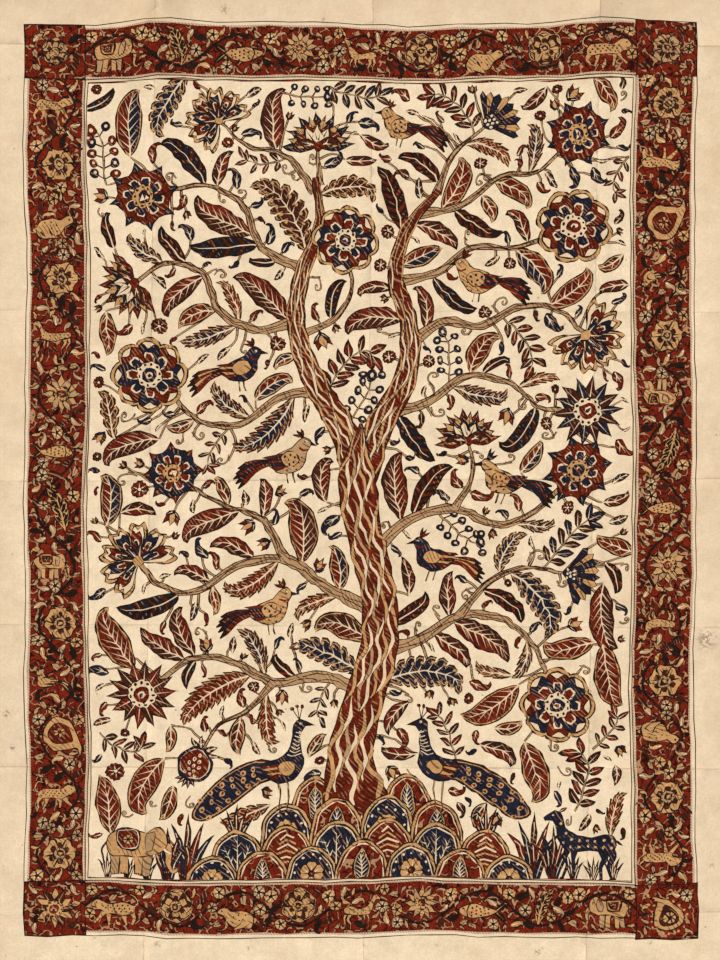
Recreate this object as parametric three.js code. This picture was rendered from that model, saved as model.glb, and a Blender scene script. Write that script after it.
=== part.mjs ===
// A kalamkari panel: one length of plain-weave cotton, dyed with a tree of life and laid out flat.
// Millimetres, +Z up. The cloth lies on the XY plane with the top of its picture towards +Y,
// and the origin is on the ground under the middle of the cloth.
import * as THREE from "three";

// Driving dimensions
const CLOTH_WIDTH = 1143; // one loom width, between the selvedges
const CLOTH_LENGTH = 1524; // between the two hemmed ends
const CLOTH_THICKNESS = 1.5;
const HEM_WIDTH = 12; // turned under along both cut ends
const HEM_EXTRA = 0.9; // what the turned layer adds to the thickness
const HEM_RAMP = 3; // how far the cloth takes to climb on to the hem
const FOLD_SPREAD = 22; // how far a fold lifts the cloth on either side of its line
const CROSSING_SPREAD = 45; // folds die away this close to where they cross
const EDGE_WAVE = 4; // how far the selvedges and ends wander inwards
const SIDE_WAVES = 7; // half waves along a selvedge
const END_WAVES = 5; // half waves along an end
const EDGE_GRIP = 4; // the power by which that wander fades towards the middle of the cloth
const MESH_STEP = 62; // widest spacing of the mesh lines between folds
const FOLD_FLANKS = [-1, -0.45, 0, 0.45, 1]; // mesh lines on a fold, in spreads from its line

const HALF_WIDTH = CLOTH_WIDTH / 2;
const HALF_LENGTH = CLOTH_LENGTH / 2;

// Storage folds. An upright fold runs from the bottom end to the top end of the picture, and a level
// fold from its left selvedge to its right one. `from` and `to` say where its line starts and ends,
// measured across its run. `sense` is 1 where it starts as a ridge and -1 where it starts as a groove,
// and it changes each time that the fold crosses another.
const UPRIGHT_FOLDS = [
  { from: -325, to: -306, rise: 2.6, sense: -1 },
  { from: 5, to: 20, rise: 2.2, sense: 1 },
  { from: 338, to: 360, rise: 2.8, sense: 1 },
];
const LEVEL_FOLDS = [
  { from: -652, to: -648, rise: 1.8, sense: 1 },
  { from: -430, to: -433, rise: 2.8, sense: -1 },
  { from: -216, to: -222, rise: 1.7, sense: 1 },
  { from: -2, to: 2, rise: 2.6, sense: 1 },
  { from: 255, to: 251, rise: 1.5, sense: -1 },
  { from: 654, to: 650, rise: 3.0, sense: -1 },
];

// Places where the cloth doesn't lie down: the middle, how far it reaches each way, and how high it stands.
const SWELLS = [
  { x: -309, y: 705, reachX: 62, reachY: 150, rise: 7.0 },
  { x: 357, y: 700, reachX: 78, reachY: 140, rise: 6.5 },
  { x: -571, y: 762, reachX: 130, reachY: 120, rise: 5.0 },
  { x: 571, y: -762, reachX: 140, reachY: 120, rise: 6.0 },
  { x: 571, y: 215, reachX: 120, reachY: 150, rise: 5.5 },
  { x: -571, y: -330, reachX: 110, reachY: 180, rise: 4.5 },
  { x: -150, y: 440, reachX: 170, reachY: 140, rise: 3.5 },
  { x: -190, y: -110, reachX: 150, reachY: 130, rise: 3.5 },
  { x: 200, y: -325, reachX: 160, reachY: 120, rise: 3.5 },
  { x: 460, y: -110, reachX: 130, reachY: 150, rise: 3.0 },
  { x: -450, y: 150, reachX: 120, reachY: 160, rise: 3.5 },
  { x: -120, y: -560, reachX: 180, reachY: 120, rise: 3.0 },
  { x: 170, y: 520, reachX: 150, reachY: 130, rise: 3.0 },
  { x: 60, y: -762, reachX: 200, reachY: 70, rise: 4.0 },
];

const mix = (a, b, share) => a + (b - a) * share;
const smooth = (share) => share * share * (3 - 2 * share);
const within = (value) => Math.min(1, Math.max(0, value));

// Where a fold's line lies, at a place along its run that is measured from the middle of the cloth.
function lineAt(fold, along, halfRun) {
  return mix(fold.from, fold.to, (along + halfRun) / (2 * halfRun));
}

// The lift beside one fold. A ridge is highest on its line, and a groove lies down there between two lips.
function foldLift(distance, rise, sense) {
  const near = Math.max(0, 1 - Math.abs(distance) / FOLD_SPREAD);
  return sense > 0 ? rise * near * near : rise * 2 * near * (1 - near);
}

// The lift of one family of folds, which run along `along` and lie across `across`.
function foldsLift(folds, crossers, along, across, halfRun, halfAcross) {
  const crossings = crossers.map((fold) => lineAt(fold, across, halfAcross));
  const passed = crossings.filter((place) => place < along).length;
  const nearest = Math.min(...crossings.map((place) => Math.abs(place - along)));
  const strength = smooth(within(nearest / CROSSING_SPREAD));
  const turn = passed % 2 === 0 ? 1 : -1;
  return folds.reduce((lift, fold) => {
    const distance = across - lineAt(fold, along, halfRun);
    return lift + strength * foldLift(distance, fold.rise, fold.sense * turn);
  }, 0);
}

function swellsLift(x, y) {
  return SWELLS.reduce((lift, swell) => {
    const nearX = Math.max(0, 1 - ((x - swell.x) / swell.reachX) ** 2);
    const nearY = Math.max(0, 1 - ((y - swell.y) / swell.reachY) ** 2);
    return lift + swell.rise * nearX ** 2 * nearY ** 2;
  }, 0);
}

// How high the underside of the cloth stands over the ground: 0 wherever the cloth lies down.
function lift(x, y) {
  return (
    foldsLift(UPRIGHT_FOLDS, LEVEL_FOLDS, y, x, HALF_LENGTH, HALF_WIDTH) +
    foldsLift(LEVEL_FOLDS, UPRIGHT_FOLDS, x, y, HALF_WIDTH, HALF_LENGTH) +
    swellsLift(x, y)
  );
}

function thickness(y) {
  const intoHem = Math.abs(y) - (HALF_LENGTH - HEM_WIDTH - HEM_RAMP);
  return CLOTH_THICKNESS + HEM_EXTRA * within(intoHem / HEM_RAMP);
}

// Mesh lines across one direction: both edges, any extra lines, each fold's crest and flanks, and even
// steps between them.
function meshLines(halfAcross, folds, extraPlaces) {
  const fixed = [-halfAcross, halfAcross, ...extraPlaces].map((place) => ({ from: place, to: place }));
  for (const fold of folds) {
    for (const flank of FOLD_FLANKS) {
      fixed.push({ from: fold.from + flank * FOLD_SPREAD, to: fold.to + flank * FOLD_SPREAD });
    }
  }
  fixed.sort((a, b) => a.from - b.from);
  return fixed.flatMap((line, index) => {
    const next = fixed[index + 1];
    if (!next) return [line];
    const parts = Math.ceil((next.from - line.from) / MESH_STEP);
    return Array.from({ length: parts }, (_, part) => ({
      from: mix(line.from, next.from, part / parts),
      to: mix(line.to, next.to, part / parts),
    }));
  });
}

// How far an edge has wandered inwards, at a share of its length. The corners stay where they are.
function edgeWave(share, waves) {
  return EDGE_WAVE * Math.sin(Math.PI * share) * Math.sin((waves * Math.PI * share) / 2) ** 2;
}

// A coordinate drawn inwards by its edge's wander, which fades towards the middle of the cloth.
function drawnIn(place, half, wave) {
  return place * (1 - (Math.abs(place) / half) ** EDGE_GRIP * (wave / half));
}

function clothPoint(column, row) {
  const level = (row.from + row.to) / 2;
  const flatX = lineAt(column, level, HALF_LENGTH);
  const flatY = lineAt(row, flatX, HALF_WIDTH);
  const sideShare = (flatY + HALF_LENGTH) / CLOTH_LENGTH;
  const endShare = (flatX + HALF_WIDTH) / CLOTH_WIDTH;
  return {
    x: drawnIn(flatX, HALF_WIDTH, edgeWave(sideShare, SIDE_WAVES)),
    y: drawnIn(flatY, HALF_LENGTH, edgeWave(endShare, END_WAVES)),
  };
}

// One closed sheet: a unit box with a mesh line for each fold, whose points are moved on to the lying cloth.
function clothGeometry() {
  const hemTop = HALF_LENGTH - HEM_WIDTH;
  const hemFoot = hemTop - HEM_RAMP;
  const hemLines = [-hemTop, -hemFoot, hemFoot, hemTop];
  const columns = meshLines(HALF_WIDTH, UPRIGHT_FOLDS, []);
  const rows = meshLines(HALF_LENGTH, LEVEL_FOLDS, hemLines);
  const geometry = new THREE.BoxGeometry(1, 1, 1, columns.length - 1, rows.length - 1, 1);
  const position = geometry.getAttribute("position");
  for (let index = 0; index < position.count; index += 1) {
    const column = columns[Math.round((position.getX(index) + 0.5) * (columns.length - 1))];
    const row = rows[Math.round((position.getY(index) + 0.5) * (rows.length - 1))];
    const { x, y } = clothPoint(column, row);
    const onTop = position.getZ(index) > 0;
    position.setXYZ(index, x, y, lift(x, y) + (onTop ? thickness(y) : 0));
  }
  geometry.computeVertexNormals();
  return geometry;
}

const dyedCotton = new THREE.MeshStandardMaterial({ color: 0xe6cba0, roughness: 0.92, metalness: 0 });

const cloth = new THREE.Mesh(clothGeometry(), dyedCotton);
cloth.name = "cloth";

const panel = new THREE.Group();
panel.add(cloth);

export default panel;
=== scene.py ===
# %% [markdown]
# # A kalamkari panel
# Kalamkari is cotton cloth, drawn with a bamboo pen and dyed with madder, indigo, iron and ochre. This
# panel is one loom width of it, a tree of life inside a red border, unfolded on the floor and seen from
# straight above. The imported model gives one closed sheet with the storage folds. Everything here is
# worked out from that sheet: first how the cloth lies, then the drawing on it, then a mesh that carries
# both, then dyes and light.

# %% The frame, and the size of the cloth
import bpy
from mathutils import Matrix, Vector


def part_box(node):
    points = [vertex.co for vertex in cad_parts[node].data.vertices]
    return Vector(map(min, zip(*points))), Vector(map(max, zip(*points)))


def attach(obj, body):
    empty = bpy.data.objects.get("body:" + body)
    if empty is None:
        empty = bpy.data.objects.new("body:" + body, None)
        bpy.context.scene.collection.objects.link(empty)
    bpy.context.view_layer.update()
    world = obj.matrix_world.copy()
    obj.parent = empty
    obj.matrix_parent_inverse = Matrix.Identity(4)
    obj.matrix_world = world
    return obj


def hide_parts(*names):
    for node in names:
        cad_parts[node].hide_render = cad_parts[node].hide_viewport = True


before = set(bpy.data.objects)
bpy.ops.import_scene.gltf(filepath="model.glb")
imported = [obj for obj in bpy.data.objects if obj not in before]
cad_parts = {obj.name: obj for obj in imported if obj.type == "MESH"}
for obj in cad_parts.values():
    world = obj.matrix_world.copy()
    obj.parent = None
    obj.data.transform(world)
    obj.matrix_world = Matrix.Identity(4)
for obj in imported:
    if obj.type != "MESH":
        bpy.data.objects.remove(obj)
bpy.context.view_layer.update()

import math
import random

import bpy
import numpy as np
from mathutils import Vector
from mathutils.geometry import delaunay_2d_cdt

MM = 0.001
cloth_low, cloth_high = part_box("cloth")
CLOTH_WIDTH = (cloth_high.x - cloth_low.x) / MM
CLOTH_LENGTH = (cloth_high.y - cloth_low.y) / MM
HALF_WIDTH = CLOTH_WIDTH / 2
HALF_LENGTH = CLOTH_LENGTH / 2
print("the cloth is", round(CLOTH_WIDTH), "by", round(CLOTH_LENGTH), "mm")

# %% [markdown]
# ## How the cloth lies
# The cloth was kept folded, so ridges and grooves cross it in a grid, and it doesn't lie quite down at
# its edges. A cloth simulation would iron these out or move them about. The storage folds have known
# places, so the height of the cloth is a formula of where you are on it, in millimetres: the folds of the
# packed sheet, its soft swells, and on top of them the sharp line that pressing leaves along each fold.

# %% Folds and swells of the sheet
FOLD_SPREAD = 22.0
CROSSING_SPREAD = 45.0
# A fold is where its line starts and ends, how high it rises, and 1 for a ridge first or -1 for a groove.
UPRIGHT_FOLDS = [(-325, -306, 2.6, -1), (5, 20, 2.2, 1), (338, 360, 2.8, 1)]
LEVEL_FOLDS = [(-652, -648, 1.8, 1), (-430, -433, 2.8, -1), (-216, -222, 1.7, 1)]
LEVEL_FOLDS += [(-2, 2, 2.6, 1), (255, 251, 1.5, -1), (654, 650, 3.0, -1)]
# A swell is the middle of a place that doesn't lie down, its reach each way, and its height.
SWELLS = [
    (-309, 705, 62, 150, 7.0),
    (357, 700, 78, 140, 6.5),
    (-571, 762, 130, 120, 5.0),
    (571, -762, 140, 120, 6.0),
    (571, 215, 120, 150, 5.5),
    (-571, -330, 110, 180, 4.5),
    (-150, 440, 170, 140, 3.5),
    (-190, -110, 150, 130, 3.5),
    (200, -325, 160, 120, 3.5),
    (460, -110, 130, 150, 3.0),
    (-450, 150, 120, 160, 3.5),
    (-120, -560, 180, 120, 3.0),
    (170, 520, 150, 130, 3.0),
    (60, -762, 200, 70, 4.0),
]


def line_at(fold, along, half_run):
    """Where a fold's line lies, at a place along its run."""
    return fold[0] + (fold[1] - fold[0]) * (along + half_run) / (2 * half_run)


def crossed(crossers, along, across, half_across):
    """How far the nearest crossing fold is, and 1 or -1 for an even or odd number of folds passed."""
    crossings = np.array([line_at(fold, across, half_across) for fold in crossers])
    turn = np.where((crossings < along).sum(axis=0) % 2 == 0, 1, -1)
    return np.abs(crossings - along).min(axis=0), turn


def folds_lift(folds, crossers, along, across, half_run, half_across):
    nearest, turn = crossed(crossers, along, across, half_across)
    share = np.clip(nearest / CROSSING_SPREAD, 0, 1)
    strength = share * share * (3 - 2 * share)
    lift = np.zeros_like(along)
    for fold in folds:
        near = np.clip(1 - np.abs(across - line_at(fold, along, half_run)) / FOLD_SPREAD, 0, None)
        lift += strength * fold[2] * np.where(fold[3] * turn > 0, near**2, 2 * near * (1 - near))
    return lift


def swells_lift(x, y):
    lift = np.zeros_like(x)
    for at_x, at_y, reach_x, reach_y, rise in SWELLS:
        near_x = np.clip(1 - ((x - at_x) / reach_x) ** 2, 0, None)
        near_y = np.clip(1 - ((y - at_y) / reach_y) ** 2, 0, None)
        lift += rise * near_x**2 * near_y**2
    return lift


def both_ways(x, y):
    """Upright and level folds in turn, each with those it crosses, and with places along and across it."""
    return (
        (UPRIGHT_FOLDS, LEVEL_FOLDS, y, x, HALF_LENGTH, HALF_WIDTH),
        (LEVEL_FOLDS, UPRIGHT_FOLDS, x, y, HALF_WIDTH, HALF_LENGTH),
    )


def lift(x, y):
    """How high the underside of the cloth stands over the floor."""
    return sum(folds_lift(*run) for run in both_ways(x, y)) + swells_lift(x, y)


print("highest point of the sheet", round(cloth_high.z / MM, 1), "mm")

# %% Pressed lines and small creases on the face
CLOTH_THICKNESS = 1.5
HEM_WIDTH, HEM_EXTRA, HEM_RAMP = 12.0, 0.9, 3.0
PRESS_SPREAD, PRESS_RISE = 3.2, 0.42
DEEPEST_CREASE = -0.8
# A crease is where it starts and ends, how far it spreads, and how high it rises or, below 0, sinks.
CREASES = [
    (-318, 742, -306, 560, 13, 1.1),
    (-292, 740, -300, 610, 9, -0.7),
    (345, 744, 352, 575, 14, 1.2),
    (378, 738, 366, 622, 10, -0.7),
    (-540, 700, -470, 640, 16, 0.9),
    (560, 262, 424, 226, 15, 1.0),
    (556, 196, 436, 190, 12, -0.7),
    (-560, -300, -452, -338, 16, 0.9),
    (-556, -372, -470, -390, 13, -0.6),
    (520, -720, 452, -640, 15, 0.9),
    (-60, 120, 70, 176, 18, 0.6),
    (-250, 430, -150, 470, 20, 0.6),
    (180, -330, 290, -300, 20, 0.6),
    (-230, -120, -120, -88, 18, 0.6),
    (90, -520, 210, -560, 18, 0.5),
    (220, 560, 300, 500, 16, 0.6),
    (-330, 704, -262, 744, 7, 0.7),
    (-300, 700, -238, 718, 6, -0.5),
    (-560, 626, -500, 640, 8, 0.6),
    (-60, 742, -20, 690, 9, 0.6),
    (120, 700, 190, 726, 10, 0.6),
    (440, 712, 560, 690, 11, 0.6),
    (508, 560, 562, 610, 10, 0.5),
    (-562, 250, -508, 262, 9, 0.7),
    (-560, 90, -506, 60, 10, 0.5),
    (506, 30, 562, -20, 10, 0.6),
    (-562, -150, -506, -190, 10, 0.6),
    (504, -330, 564, -356, 9, 0.7),
    (-562, -520, -506, -500, 9, 0.6),
    (506, -520, 562, -470, 10, 0.5),
    (-440, -700, -350, -722, 9, 0.6),
    (-120, -698, -30, -730, 10, 0.6),
    (210, -696, 300, -716, 9, 0.6),
    (400, -720, 480, -698, 8, -0.5),
]


def pressed_lines(x, y):
    """The thin sharp line along every fold."""
    lines = np.zeros_like(x)
    for folds, crossers, along, across, half_run, half_across in both_ways(x, y):
        _, turn = crossed(crossers, along, across, half_across)
        for fold in folds:
            near = np.clip(1 - np.abs(across - line_at(fold, along, half_run)) / PRESS_SPREAD, 0, None)
            lines += PRESS_RISE * fold[3] * turn * near**2
    return lines


def small_creases(x, y):
    total = np.zeros_like(x)
    for from_x, from_y, to_x, to_y, reach, rise in CREASES:
        way = np.array([to_x - from_x, to_y - from_y])
        share = ((x - from_x) * way[0] + (y - from_y) * way[1]) / (way @ way)
        off = ((x - from_x) * way[1] - (y - from_y) * way[0]) / math.hypot(*way)
        near = np.clip(1 - (off / reach) ** 2, 0, None) * np.clip(4 * share * (1 - share), 0, None)
        total += rise * near**2
    return total


def face_height(x, y):
    """How high the printed face stands over the floor."""
    into_hem = np.clip((np.abs(y) - (HALF_LENGTH - HEM_WIDTH - HEM_RAMP)) / HEM_RAMP, 0, 1)
    fine = np.clip(pressed_lines(x, y) + small_creases(x, y), DEEPEST_CREASE, None)
    return lift(x, y) + CLOTH_THICKNESS + HEM_EXTRA * into_hem + fine


middle_height = face_height(np.zeros(1), np.zeros(1))[0]
print(len(CREASES), "creases placed; the face is", round(middle_height, 2), "mm up at the middle")

# %% [markdown]
# ## The pen and the brush
# The picture of a kalamkari is drawn with a bamboo pen and filled with dye. Painting an image and
# wrapping it round the cloth would blur close up and couldn't be changed by a number. Here every stroke
# is an outline in millimetres on the flat cloth, so a line stays crisp at any distance and each motif is
# a few lines of code. A drawing is a pile of outlines with their dyes: whatever is laid later covers what
# lies below it.

# %% The dyes, and curves through a few points
COTTON, MADDER, INDIGO, IRON, CUTCH, OCHRE, BARK, RESERVE, BLOCK_RED, COMB = range(10)
STEP_SLACK = 0.3


def curve(points, closed=False, step=3.0):
    """A smooth line through the given points, with a point about every step."""
    knots = np.asarray(points, float)
    count = len(knots)
    if closed:
        before, start, end, after = (np.roll(knots, shift, axis=0) for shift in (1, 0, -1, -2))
    else:
        padded = np.vstack([2 * knots[0] - knots[1], knots, 2 * knots[-1] - knots[-2]])
        before, start, end, after = (padded[first : first + count - 1] for first in range(4))
    stretches = []
    for a, b, c, d in zip(before, start, end, after):
        parts = max(1, math.ceil(np.linalg.norm(c - b) / step - STEP_SLACK))
        t = (np.arange(parts) / parts)[:, None]
        bend = (2 * a - 5 * b + 4 * c - d) * t**2 + (3 * b - a - 3 * c + d) * t**3
        stretches.append(0.5 * (2 * b + (c - a) * t + bend))
    return np.vstack(stretches + ([] if closed else [knots[-1:]]))


def unit(vectors):
    """Vectors of length 1 along the given ones."""
    vectors = np.asarray(vectors, float)
    return vectors / np.maximum(np.linalg.norm(vectors, axis=-1, keepdims=True), 1e-9)


def to_left(vectors):
    """Vectors turned a quarter turn anticlockwise."""
    vectors = np.asarray(vectors, float)
    return np.stack([-vectors[..., 1], vectors[..., 0]], axis=-1)


def sideways(path):
    """The unit vector to the left of an open path at each of its points."""
    return to_left(unit(np.gradient(path, axis=0)))


def heading(vector):
    """The turn in degrees that makes +Y point along a vector."""
    return math.degrees(math.atan2(-vector[0], vector[1]))


print("curves ready: a circle of four points becomes", len(curve([(9, 0), (0, 9), (-9, 0), (0, -9)], True)))

# %% Outlines: strokes, rounds and slivers
def facing_out(shape):
    """The same outline, running anticlockwise."""
    x, y = shape.T
    area = (x * np.roll(y, -1) - y * np.roll(x, -1)).sum()
    return shape if area > 0 else shape[::-1]


def ribbon(path, widths):
    """The outline of a stroke along a path, as wide at each point as widths says."""
    reach = sideways(path) * (np.broadcast_to(widths, len(path)) / 2)[:, None]
    return facing_out(np.vstack([path + reach, (path - reach)[::-1]]))


def spread(values, count):
    """A few values, evenly spaced along a stroke, drawn out to count of them."""
    return np.interp(np.linspace(0, 1, count), np.linspace(0, 1, len(values)), values)


def shrink(shape, distance):
    """An outline drawn in all round."""
    shape = facing_out(np.asarray(shape, float))
    along = np.roll(shape, -1, axis=0) - np.roll(shape, 1, axis=0)
    return shape + distance * to_left(unit(along))


def mirrored(side):
    """A closed outline from its right side, which starts and ends on the middle line."""
    return np.vstack([side, (side * [-1, 1])[::-1][1:-1]])


def around(angle, reach):
    """The point at an angle in degrees, clockwise from +Y, and at a reach from the middle."""
    return np.array([reach * math.sin(math.radians(angle)), reach * math.cos(math.radians(angle))])


def disc(radius, at=(0, 0), chord=2.2):
    count = max(6, math.ceil(2 * math.pi * radius / chord))
    return np.array([around(360 * k / count, radius) for k in range(count)]) + at


def scalloped(radius, lobes, depth, chord=3.0):
    """A round outline with lobes, as the rim of an open flower has."""
    per_lobe = max(5, math.ceil(2 * math.pi * radius / lobes / chord))
    angle = 2 * math.pi * np.arange(lobes * per_lobe) / (lobes * per_lobe)
    reach = radius * (1 - depth + depth * np.abs(np.cos(lobes * angle / 2)) ** 0.7)
    return np.column_stack([reach * np.sin(angle), reach * np.cos(angle)])


def sliver(root, tip, width):
    """A quick pen stroke, widest at its root and ending in nothing."""
    root, tip = np.asarray(root, float), np.asarray(tip, float)
    side = to_left(unit(tip - root)) * width / 2
    return np.array([root - side, tip, root + side])


def moved(points, at=(0, 0), angle=0.0, size=1.0, flip=False):
    """Points scaled, mirrored if asked, turned anticlockwise by an angle in degrees, and set down."""
    points = np.asarray(points, float) * ([-size, size] if flip else [size, size])
    c, s = math.cos(math.radians(angle)), math.sin(math.radians(angle))
    return points @ np.array([[c, s], [-s, c]]) + at


print("a seven-lobed rim of 20 mm takes", len(scalloped(20, 7, 0.1)), "points")

# %% A drawing
class Drawing:
    """Outlines with their dyes, the later ones over the earlier."""

    def __init__(self):
        self.shapes = []

    def lay(self, shape, dye):
        self.shapes.append((facing_out(np.asarray(shape, float)), dye))
        return self

    def inked(self, shape, dye, line=1.5):
        """A filled shape with an iron-black outline."""
        return self.lay(shape, IRON).lay(shrink(shape, line), dye)

    def stroke(self, points, widths, dye, line=1.2, step=4.0):
        """A tapering limb or stem with an iron-black outline."""
        path = curve(points, step=step)
        full = spread(widths, len(path))
        return self.lay(ribbon(path, full), IRON).lay(ribbon(path, np.maximum(full - 2 * line, 0.5)), dye)

    def taper(self, path, widths, dye):
        """A line along a path, with a few widths spread evenly along it."""
        return self.lay(ribbon(path, spread(widths, len(path))), dye)

    def dots(self, places, radius, dye):
        for place in places:
            self.lay(disc(radius, place, 1.7), dye)
        return self

    def stamp(self, other, at=(0, 0), angle=0.0, size=1.0, flip=False):
        """Another drawing, set down in this one."""
        for shape, dye in other.shapes:
            self.lay(moved(shape, at, angle, size, flip), dye)
        return self

    def redyed(self, old, new):
        """The same drawing with one dye in place of another."""
        other = Drawing()
        other.shapes = [(shape, new if dye == old else dye) for shape, dye in self.shapes]
        return other

    def round(self, parts, count, turn=0.0):
        """Parts set in a ring, one after the other."""
        for k in range(count):
            self.stamp(parts[k % len(parts)], angle=360 * k / count + turn)
        return self

    def fan(self, parts, count, opening):
        """Parts set in a fan, the outer ones first so that the middle ones lie on top."""
        for k in sorted(range(count), key=lambda k: -abs(k - (count - 1) / 2)):
            self.stamp(parts[k % len(parts)], angle=opening * (k / (count - 1) - 0.5))
        return self


print("an outlined dot is", len(Drawing().inked(disc(4), MADDER).shapes), "outlines")

# %% [markdown]
# ## Leaves
# Leaves carry most of the dark of a tree of life: long toothed ones that bend over, plain ones in two
# tones, and small ones with a rolled tip. Each is drawn on a spine, a line from the root to the tip that
# leans over and may roll up at its end. One formula gives the half-width along that line, so any leaf can
# take any bend. Pale veins are kept bare on the real cloth by a line of wax; here they are slivers of the
# reserve laid on the dye.

# %% Spines and plain leaves
def spine_of(length, bend=0.0, roll=0.0):
    """A leaf's line, up from its root: it leans over by bend, and its tip by roll more, in radians."""
    t = np.linspace(0, 1, max(9, int(length / 5)))
    lean = bend * t + roll * np.clip(2.2 * t - 1.2, 0, 1) ** 2
    steps = np.column_stack([np.sin(lean), np.cos(lean)]) * length / (len(t) - 1)
    return np.vstack([np.zeros((1, 2)), np.cumsum(steps[:-1], axis=0)])


def almond(t):
    """Half-width of a leaf at a share of its length: 0 at both ends and about 1 where it is widest."""
    return 2.37 * t**0.75 * (1 - t) ** 0.85


def along_spine(spine, share):
    """The points at shares of a spine, and the unit vectors to its left there."""
    t = np.linspace(0, 1, len(spine))
    return [
        np.stack([np.interp(share, t, values[:, axis]) for axis in (0, 1)], axis=-1)
        for values in (spine, sideways(spine))
    ]


def leaf(spine, width, left=MADDER, right=INDIGO, veins=5, rib=RESERVE, rim=None):
    """A plain leaf in two tones, with a midrib and side veins, and a rim of another dye if asked."""
    t = np.linspace(0, 1, len(spine))
    half = width / 2 * almond(t)
    drawing = Drawing().lay(ribbon(spine, 2 * half), IRON)
    inset = 1.6
    if rim is not None:
        drawing.lay(ribbon(spine, 2 * np.maximum(half - 2.2, 0)), rim)
        inset = 3.6
    inner = sideways(spine) * np.maximum(half - inset, 0)[:, None]
    for sign, dye in ((1, left), (-1, right)):
        drawing.lay(np.vstack([spine[1:-1], (spine + sign * inner)[1:-1][::-1]]), dye)
    for k in range(veins):
        share = 0.12 + 0.62 * k / max(veins - 1, 1)
        root, _ = along_spine(spine, share)
        tip, side = along_spine(spine, share + 0.17)
        for sign in (1, -1):
            drawing.lay(sliver(root, tip + sign * side * width * 0.39 * almond(share + 0.17), 1.8), rib)
    return drawing.taper(spine[:-1], [2.2, 1.7, 0.6], rib)


def leaflet(length, width, dye=CUTCH, vein=RESERVE):
    """A small plain leaf."""
    t = np.linspace(0, 1, 7)
    half = width / 2 * almond(t)
    drawing = Drawing().lay(mirrored(np.column_stack([half, length * t])), IRON)
    if width > 4.5:
        drawing.lay(mirrored(np.column_stack([np.maximum(half - 0.9, 0), length * t])[1:-1]), dye)
    if width > 7:
        drawing.lay(sliver((0, length * 0.08), (0, length * 0.82), 1.5), vein)
    return drawing


print("a 70 mm leaf is", len(leaf(spine_of(70), 28).shapes), "outlines")

# %% Toothed, crested and banded leaves
# A tooth is a few steps along the leaf and out from its spine, in shares of a tooth and of the half-width.
FLAME_TOOTH = ((0.0, 0.50), (0.45, 0.80), (1.35, 1.0))
WAVE_TOOTH = ((0.0, 0.52), (0.22, 0.84), (0.58, 1.0), (1.05, 0.93), (0.92, 0.70))


def toothed_edge(spine, width, teeth, tooth, inset):
    """The outline of a leaf with teeth that lean towards its tip."""
    numbers = np.arange(teeth)[:, None]
    along = np.clip(np.append((numbers + [step for step, _ in tooth]).ravel() / teeth, 1.0), 0, 1)
    foot = np.append((numbers + [min(step, 1) for step, _ in tooth]).ravel() / teeth, 1.0)
    out = np.append(np.tile([reach for _, reach in tooth], teeth), 0.0)
    half = np.maximum(width / 2 * almond(np.clip(foot, 0.02, 1)) * out - inset, 0)
    place_on, way = along_spine(spine, along)
    return np.vstack([place_on + way * half[:, None], (place_on - way * half[:, None])[::-1]])


def toothed_leaf(spine, width, dye=INDIGO, tips=MADDER, tooth=FLAME_TOOTH, gap=11.0):
    """A long leaf with teeth, an ochre rim, a pale spine, and a dot at the end of each vein."""
    teeth = max(5, int(5 * len(spine) / gap))
    drawing = Drawing()
    for inset, colour in ((0.0, IRON), (1.3, CUTCH), (2.8, OCHRE), (4.0, dye)):
        drawing.lay(toothed_edge(spine, width, teeth, tooth, inset), colour)
    for k in range(1, teeth - 1):
        share = (k + 0.2) / teeth
        root, _ = along_spine(spine, share)
        tip, way = along_spine(spine, share + 0.6 / teeth)
        for sign in (1, -1):
            end = tip + sign * way * width * 0.25 * almond(share)
            drawing.lay(sliver(root, end, 1.9), RESERVE)
            drawing.lay(disc(min(width * 0.055, 2.6), end + sign * way * 1.2, 2.0), tips)
    return drawing.taper(spine[:-2], [2.8, 2.1, 0.8], RESERVE)


def banded_leaf(spine, width, dye=CUTCH, band=MADDER):
    """A narrow leaf with slanting bands on both sides of its spine."""
    t = np.linspace(0, 1, len(spine))
    side = sideways(spine)
    half = (width / 2 * almond(t) ** 0.8)[:, None]
    drawing = Drawing().lay(ribbon(spine, 2 * half[:, 0]), IRON)
    for sign in (1, -1):
        edge = spine + sign * side * np.maximum(half - 1.3, 0)
        for k in range(1, len(spine) - 5, 2):
            stripe = np.array([spine[k], spine[k + 1], edge[k + 3], edge[k + 2]])
            drawing.lay(stripe, band if k % 4 == 1 else dye)
    return drawing.taper(spine[:-1], [2.0, 1.5, 0.7], RESERVE)


print("a toothed leaf is", len(toothed_leaf(spine_of(110), 40).shapes), "outlines")

# %% Sprays, commas and grass
def spray(spine, width, dye=MADDER):
    """A bending shoot with a round berry on either side at every few steps, and one at its end."""
    drawing = Drawing()
    berries = []
    for k in range(2, len(spine) - 1, 3):
        for sign in (1, -1):
            way = sideways(spine)[k] * sign * width * 0.34 + unit(spine[k] - spine[k - 1]) * width * 0.16
            drawing.lay(ribbon(np.array([spine[k], spine[k] + way]), 2.2), CUTCH)
            berries.append(spine[k] + way)
    drawing.taper(spine, [3.6, 3.0, 2.2], IRON).taper(spine, [1.6, 1.4, 1.0], BARK)
    for number, berry in enumerate([*berries, spine[-1]]):
        radius = width * 0.155 if number < len(berries) else width * 0.2
        drawing.inked(disc(radius, berry, 3.0), dye if number % 3 else INDIGO, 1.1)
        drawing.lay(disc(radius * 0.34, berry + [0.6, 0.8], 2.0), RESERVE)
    return drawing


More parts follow.
